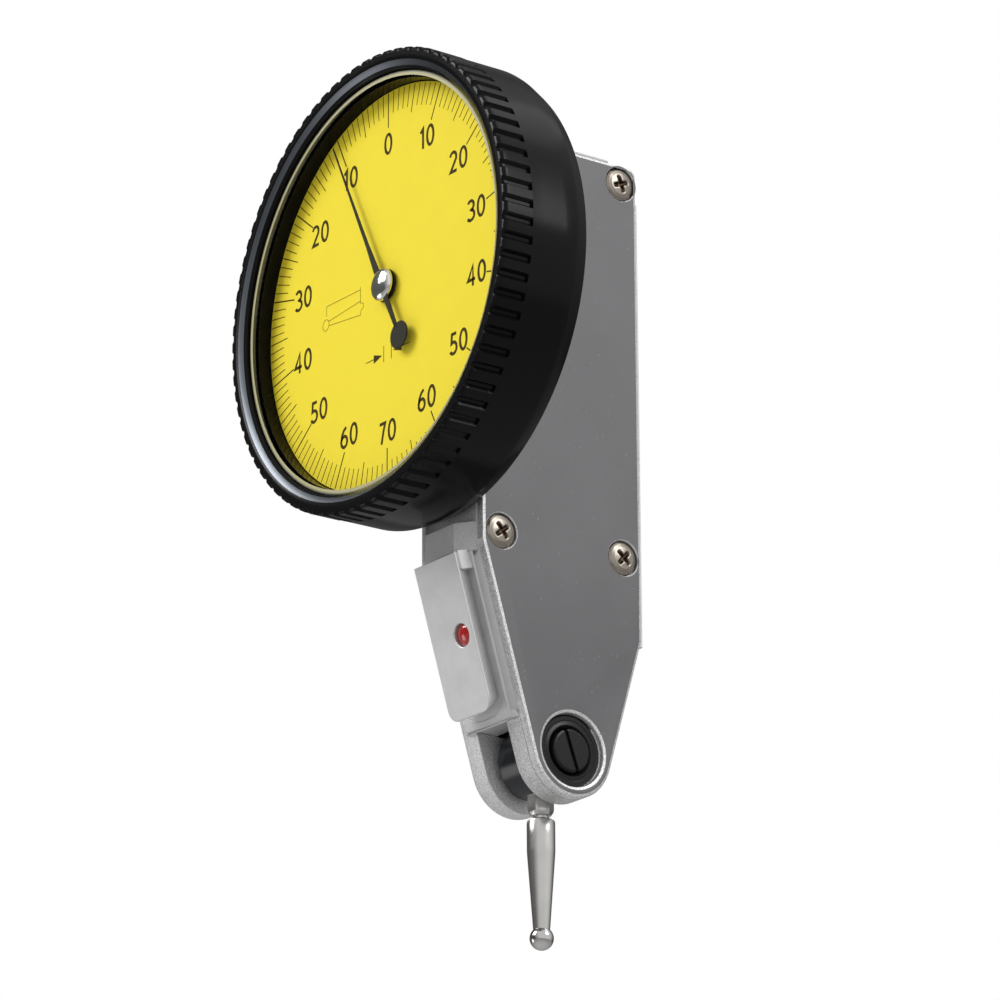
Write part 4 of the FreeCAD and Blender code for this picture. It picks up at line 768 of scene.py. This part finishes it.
# Strokes of each figure in a box one high, with its width beside them.
figures = {
    "0": (0.56, [bow((0.28, 0.5), (0.24, 0.46), 0, 360, 33)[:-1]]),
    "1": (0.34, [[(0.06, 0.80), (0.26, 0.97), (0.26, 0.0)]]),
    "2": (0.54, [bow((0.26, 0.71), (0.23, 0.25), 165, -30) + [(0.06, 0.04), (0.52, 0.04)]]),
    "3": (0.52, [bow((0.23, 0.74), (0.22, 0.22), 150, -80) + bow((0.23, 0.28), (0.26, 0.24), 80, -150)]),
    "4": (0.60, [[(0.42, 0.0), (0.42, 0.96), (0.05, 0.30), (0.58, 0.30)]]),
    "5": (0.52, [[(0.46, 0.96), (0.14, 0.96), (0.11, 0.54)] + bow((0.24, 0.31), (0.25, 0.27), 100, -150)]),
    "6": (0.56, [bow((0.29, 0.30), (0.23, 0.26), 0, 360, 25)[:-1], [(0.07, 0.36), (0.12, 0.62), (0.26, 0.84), (0.44, 0.96)]]),
    "7": (0.52, [[(0.05, 0.96), (0.48, 0.96), (0.36, 0.64), (0.20, 0.0)]]),
}


# One number: its figures side by side, upright and centred on their place round the dial.
def numberShells(text, turn):
    d = dial
    tall = d["numberHeight"]
    widths = [figures[c][0] * tall for c in text]
    left = -(sum(widths) + d["gap"] * (len(text) - 1)) / 2
    shells = []
    for c, width in zip(text, widths):
        corner = np.array([left + d["numberRadius"] * math.sin(turn), d["numberRadius"] * math.cos(turn) - tall / 2])
        for stroke in figures[c][1]:
            ring = c in "06" and len(stroke) > 20
            shells.append(printed(np.array(stroke) * tall + corner, d["stroke"] * tall, ring))
        left += width + d["gap"]
    return shells


numbers = [("0", 0)] + [(str(n), s * n) for n in range(10, 70, 10) for s in (-1, 1)] + [("70", 70)]
numberParts = [part for text, n in numbers for part in numberShells(text, 2 * math.pi * n / dial["divisions"])]
makePiece("dialNumbers", numberParts, materials["ink"], "bezel_unit")

# Small lever diagram left of the centre, and the pair of arrows below it.
levelLines = [[(-9.04, 0.1), (-9.04, 1.0), (-4.0, 0.95)], [(-4.0, 1.2), (-4.0, -0.25), (-3.58, -0.38), (-3.58, -0.78), (-3.9, -0.95), (-4.0, -1.33), (-8.62, -0.84)],
              [(-8.70, -0.42), (-4.0, -0.08)]]
stepLines = [[(-3.14, -5.95), (-1.9, -5.95)], [(1.9, -5.95), (3.14, -5.95)], [(-0.55, -5.17), (-0.55, -6.6)], [(0.55, -5.17), (0.55, -6.6)]]
fineParts = [printed(line, dial["fine"]) for line in levelLines]
fineParts.append(printed(bow((-9.13, -0.67), (0.46, 0.50), 0, 360, 33)[:-1], dial["fine"], True))
makePiece("leverDiagram", fineParts, materials["fineInk"], "bezel_unit")
arrowHeads = [plate(smoothed([(s * 0.81, -5.95), (s * 2.0, -5.57), (s * 2.0, -6.33)], [0, 0, 0]), [(0, -dial["ink"]), (0, 0.002)], dialFrame)
              for s in (-1, 1)]
makePiece("stepArrows", [printed(line, 0.07) for line in stepLines] + arrowHeads, materials["ink"], "bezel_unit")
print("bezel and dial made")

pointer = {"top": -0.75, "bottom": -0.62, "length": 16.4, "tip": 0.05, "root": 0.42, "middle": (4.5, 0.20), "tail": 5.9, "tailRoot": 0.36,
           "tailHalf": 0.20, "tailStart": 4.9, "disc": 1.2, "turn": -math.radians(26.2), "boss": 1.42, "bossBase": -0.62, "bossRise": 0.53,
           "backDisc": 1.42}


# The same frame turned about its h direction.
def turnedFrame(turn, where):
    a = where["a"] * math.cos(turn) - where["b"] * math.sin(turn)
    b = where["a"] * math.sin(turn) + where["b"] * math.cos(turn)
    return axisFrame(where["origin"], a, b, where["h"])


# Needle with a waisted taper, its counterweight disc and the thin disc behind the hub.
def pointerShells():
    p = pointer
    where = turnedFrame(p["turn"], dialFrame)
    profile = [(0.03, p["top"]), (0, p["top"] + 0.03), (0, p["bottom"] - 0.03), (0.03, p["bottom"])]
    right = [(p["tailHalf"], -p["tailStart"]), (p["tailRoot"], 0), (p["root"], 0.1), (p["middle"][1], p["middle"][0]), (p["tip"], p["length"])]
    needle = np.array(right + [(-x, y) for x, y in right[::-1]])
    back = [(0.02, -0.30), (0, -0.28), (0, -0.20), (0.02, -0.18)]
    return [plate(anticlockwise(needle), profile, where), plate(circle(p["disc"], (0, -p["tail"]), 64), profile, where),
            plate(circle(p["backDisc"], (0, 0), 64), back, where), plate(circle(0.7, (0, 0), 48), [(0, p["bottom"]), (0, -0.25)], where)]


makePiece("pointerNeedle", pointerShells(), materials["pointer"], "pointer_unit", ["pointer"])


# Half ellipsoid over the hub.
def bossShell():
    p = pointer
    rise = np.linspace(math.pi / 2, 0, 20)
    dome = [(p["boss"] * math.cos(a), p["bossBase"] - p["bossRise"] * math.sin(a)) for a in rise]
    dome[0] = (0, dome[0][1])
    return revolved(dome + [(p["boss"], p["bossBase"] + 0.08), (0, p["bossBase"] + 0.08)], dialFrame, 72)


makePiece("pointerBoss", [bossShell()], materials["chrome"], "pointer_unit", ["pointer_boss"])
print("pointer made")

stylus = {"drum": 3.25, "drumLeft": -1.7, "drumRight": 1.14, "bore": 1.3, "flat": 3.0, "bevel": 0.2, "reach": 15.01, "ball": 1.0,
          "collar": 0.95, "collarEnd": 4.65, "neck": 0.62, "shoulder": 5.0, "shank": 1.18, "straight": 7.7, "tip": 0.70}


# Drum with a bevel at each end and a flat where the stem leaves it.
def drumShell():
    s = stylus
    b, left, right, r = s["bevel"], s["drumLeft"], s["drumRight"], s["drum"]
    profile = [(s["bore"], left), (r - b - 0.02, left), (r - b, left), (r, left + b), (r, right - b), (r - b, right),
               (r - b - 0.02, right), (s["bore"], right), (s["bore"], left)]
    made = revolved(profile, pivotFrame, 192)
    made["verts"][:, 2] = np.maximum(made["verts"][:, 2], pivotZ - s["flat"])
    return made


makePiece("stylusDrum", [drumShell()], materials["drum"], "stylus_unit", ["stylus_drum"])


# Radius of a hexagon of the same flats, on the collar only.
def hexWave(turn, radius, drop):
    s = stylus
    apart = (turn + math.pi / 6) % (math.pi / 3) - math.pi / 6
    hexagon = np.minimum(s["collar"] / np.cos(apart), radius * 1.155)
    return np.where((drop < s["collarEnd"] + 0.001) & (radius > 0.7), hexagon, radius)


# Stem: collar with flats, a thin neck, a straight shank and a long taper.
def stemShell():
    s = stylus
    end = s["reach"] - 0.72
    collar = [(0, 2.9), (0.75, 2.9), (0.95, 3.0), (1.0, 3.05), (1.0, 3.4), (1.0, 4.1), (0.9, 4.35), (0.72, s["collarEnd"])]
    neck = [(s["neck"], s["collarEnd"] + 0.02), (s["neck"], s["shoulder"] - 0.03), (s["neck"] + 0.05, s["shoulder"])]
    shank = [(s["shank"] - 0.22, s["shoulder"]), (s["shank"] - 0.05, s["shoulder"] + 0.1), (s["shank"], s["shoulder"] + 0.22),
             (s["shank"], 6.4), (s["shank"], s["straight"] - 0.1), (s["shank"] - 0.005, s["straight"])]
    taper = [(s["shank"] + (s["tip"] - s["shank"]) * t, s["straight"] + (end - s["straight"]) * t) for t in np.linspace(0.03, 1, 10)]
    return revolved(collar + neck + shank + taper + [(0, end)], stemFrame, 96, hexWave)


makePiece("stylusStem", [stemShell()], materials["steel"], "stylus_unit", ["stylus_stem"])
turn = np.linspace(0, math.pi, 49)
ballProfile = [(stylus["ball"] * math.sin(a), stylus["reach"] - stylus["ball"] * math.cos(a)) for a in turn]
ballProfile[0], ballProfile[-1] = (0, stylus["reach"] - stylus["ball"]), (0, stylus["reach"] + stylus["ball"])
makePiece("stylusBall", [revolved(ballProfile, stemFrame, 96)], materials["ball"], "stylus_unit", ["stylus_ball"])
print("stylus made")

camera = {"azimuth": math.radians(53.672), "elevation": math.radians(-19.009), "roll": math.radians(-0.229),
          "place": (0.320236, -0.248234, -0.153517), "lens": 180.685}


# Camera that looks back along a direction given by azimuth and elevation, rolled about it.
def makeCamera():
    c = camera
    az, el, roll = c["azimuth"], c["elevation"], c["roll"]
    back = Vector((math.sin(az) * math.cos(el), -math.cos(az) * math.cos(el), math.sin(el)))
    level = Vector((math.cos(az), math.sin(az), 0))
    up = back.cross(level)
    right, top = level * math.cos(roll) + up * math.sin(roll), up * math.cos(roll) - level * math.sin(roll)
    data = bpy.data.cameras.new("camera")
    data.lens, data.sensor_width, data.clip_start, data.clip_end = c["lens"], 36, 0.01, 20
    made = bpy.data.objects.new("camera", data)
    bpy.context.scene.collection.objects.link(made)
    made.matrix_world = Matrix(((right.x, top.x, back.x, c["place"][0]), (right.y, top.y, back.y, c["place"][1]),
                                (right.z, top.z, back.z, c["place"][2]), (0, 0, 0, 1)))
    bpy.context.scene.camera = made


lamps = {
    "keyLamp": {"from": (-0.30, -0.50, 0.40), "size": 0.35, "power": 3.7},
    "noseLamp": {"from": (-0.42, -0.40, -0.17), "size": 0.22, "power": 0.30},
    "sideLamp": {"from": (0.50, 0.20, 0.35), "size": 0.30, "power": 1.7},
    "topLamp": {"from": (0.10, 0.20, 0.60), "size": 0.40, "power": 0.4},
}


# Soft square lamp aimed at the middle of the indicator.
def makeLamp(name, settings):
    data = bpy.data.lights.new(name, "AREA")
    data.energy, data.size = settings["power"], settings["size"]
    made = bpy.data.objects.new(name, data)
    bpy.context.scene.collection.objects.link(made)
    made.location = settings["from"]
    aim = Vector((0, -0.012, -0.015)) - made.location
    made.rotation_euler = aim.to_track_quat("-Z", "Y").to_euler()


world = {"light": 0.5, "dim": 0.12, "bright": (0.85, -0.1, 0.5)}


# White to the camera and through glass; in a mirror it dims away from the bright side; softer grey as a light.
def makeWorld():
    made = bpy.data.worlds.new("studio")
    bpy.context.scene.world = made
    made.use_nodes = True
    room = Nodes(made.node_tree)
    side = room.add("ShaderNodeTexCoord", {}, {}, "Generated")
    side = room.add("ShaderNodeVectorMath", {"operation": "DOT_PRODUCT"}, {0: side, 1: world["bright"]}, "Value")
    mirrored = side.ramp(-0.1, 0.6) * (1 - world["dim"]) + world["dim"]
    rays = {name: room.add("ShaderNodeLightPath", {}, {}, f"Is {name} Ray") for name in ("Camera", "Glossy", "Transmission")}
    seen = rays["Camera"].maths("MAXIMUM", rays["Camera"], rays["Transmission"])
    seen = seen.maths("MAXIMUM", seen, rays["Glossy"] * mirrored)
    lit = world["light"] * (1 - rays["Glossy"])
    background = made.node_tree.nodes["Background"]
    background.inputs["Color"].default_value = (1, 1, 1, 1)
    room.fill(background.inputs["Strength"], seen.maths("MAXIMUM", seen, lit))


# Large pale sheet far below the indicator.
def makeFloor():
    mesh = bpy.data.meshes.new("studioFloor")
    s, z = 3.0, -0.6
    mesh.from_pydata([(-s, -s, z), (s, -s, z), (s, s, z), (-s, s, z)], [], [(0, 1, 2, 3)])
    f = Finish("floorWhite", Roughness=0.9)
    f.set("Base Color", (0.85, 0.85, 0.85, 1))
    mesh.materials.append(f.material)
    floor = bpy.data.objects.new("studioFloor", mesh)
    bpy.context.scene.collection.objects.link(floor)


makeCamera()
for name, settings in lamps.items():
    makeLamp(name, settings)
makeWorld()
makeFloor()
bpy.context.scene.view_settings.view_transform = "Standard"
print("studio made")
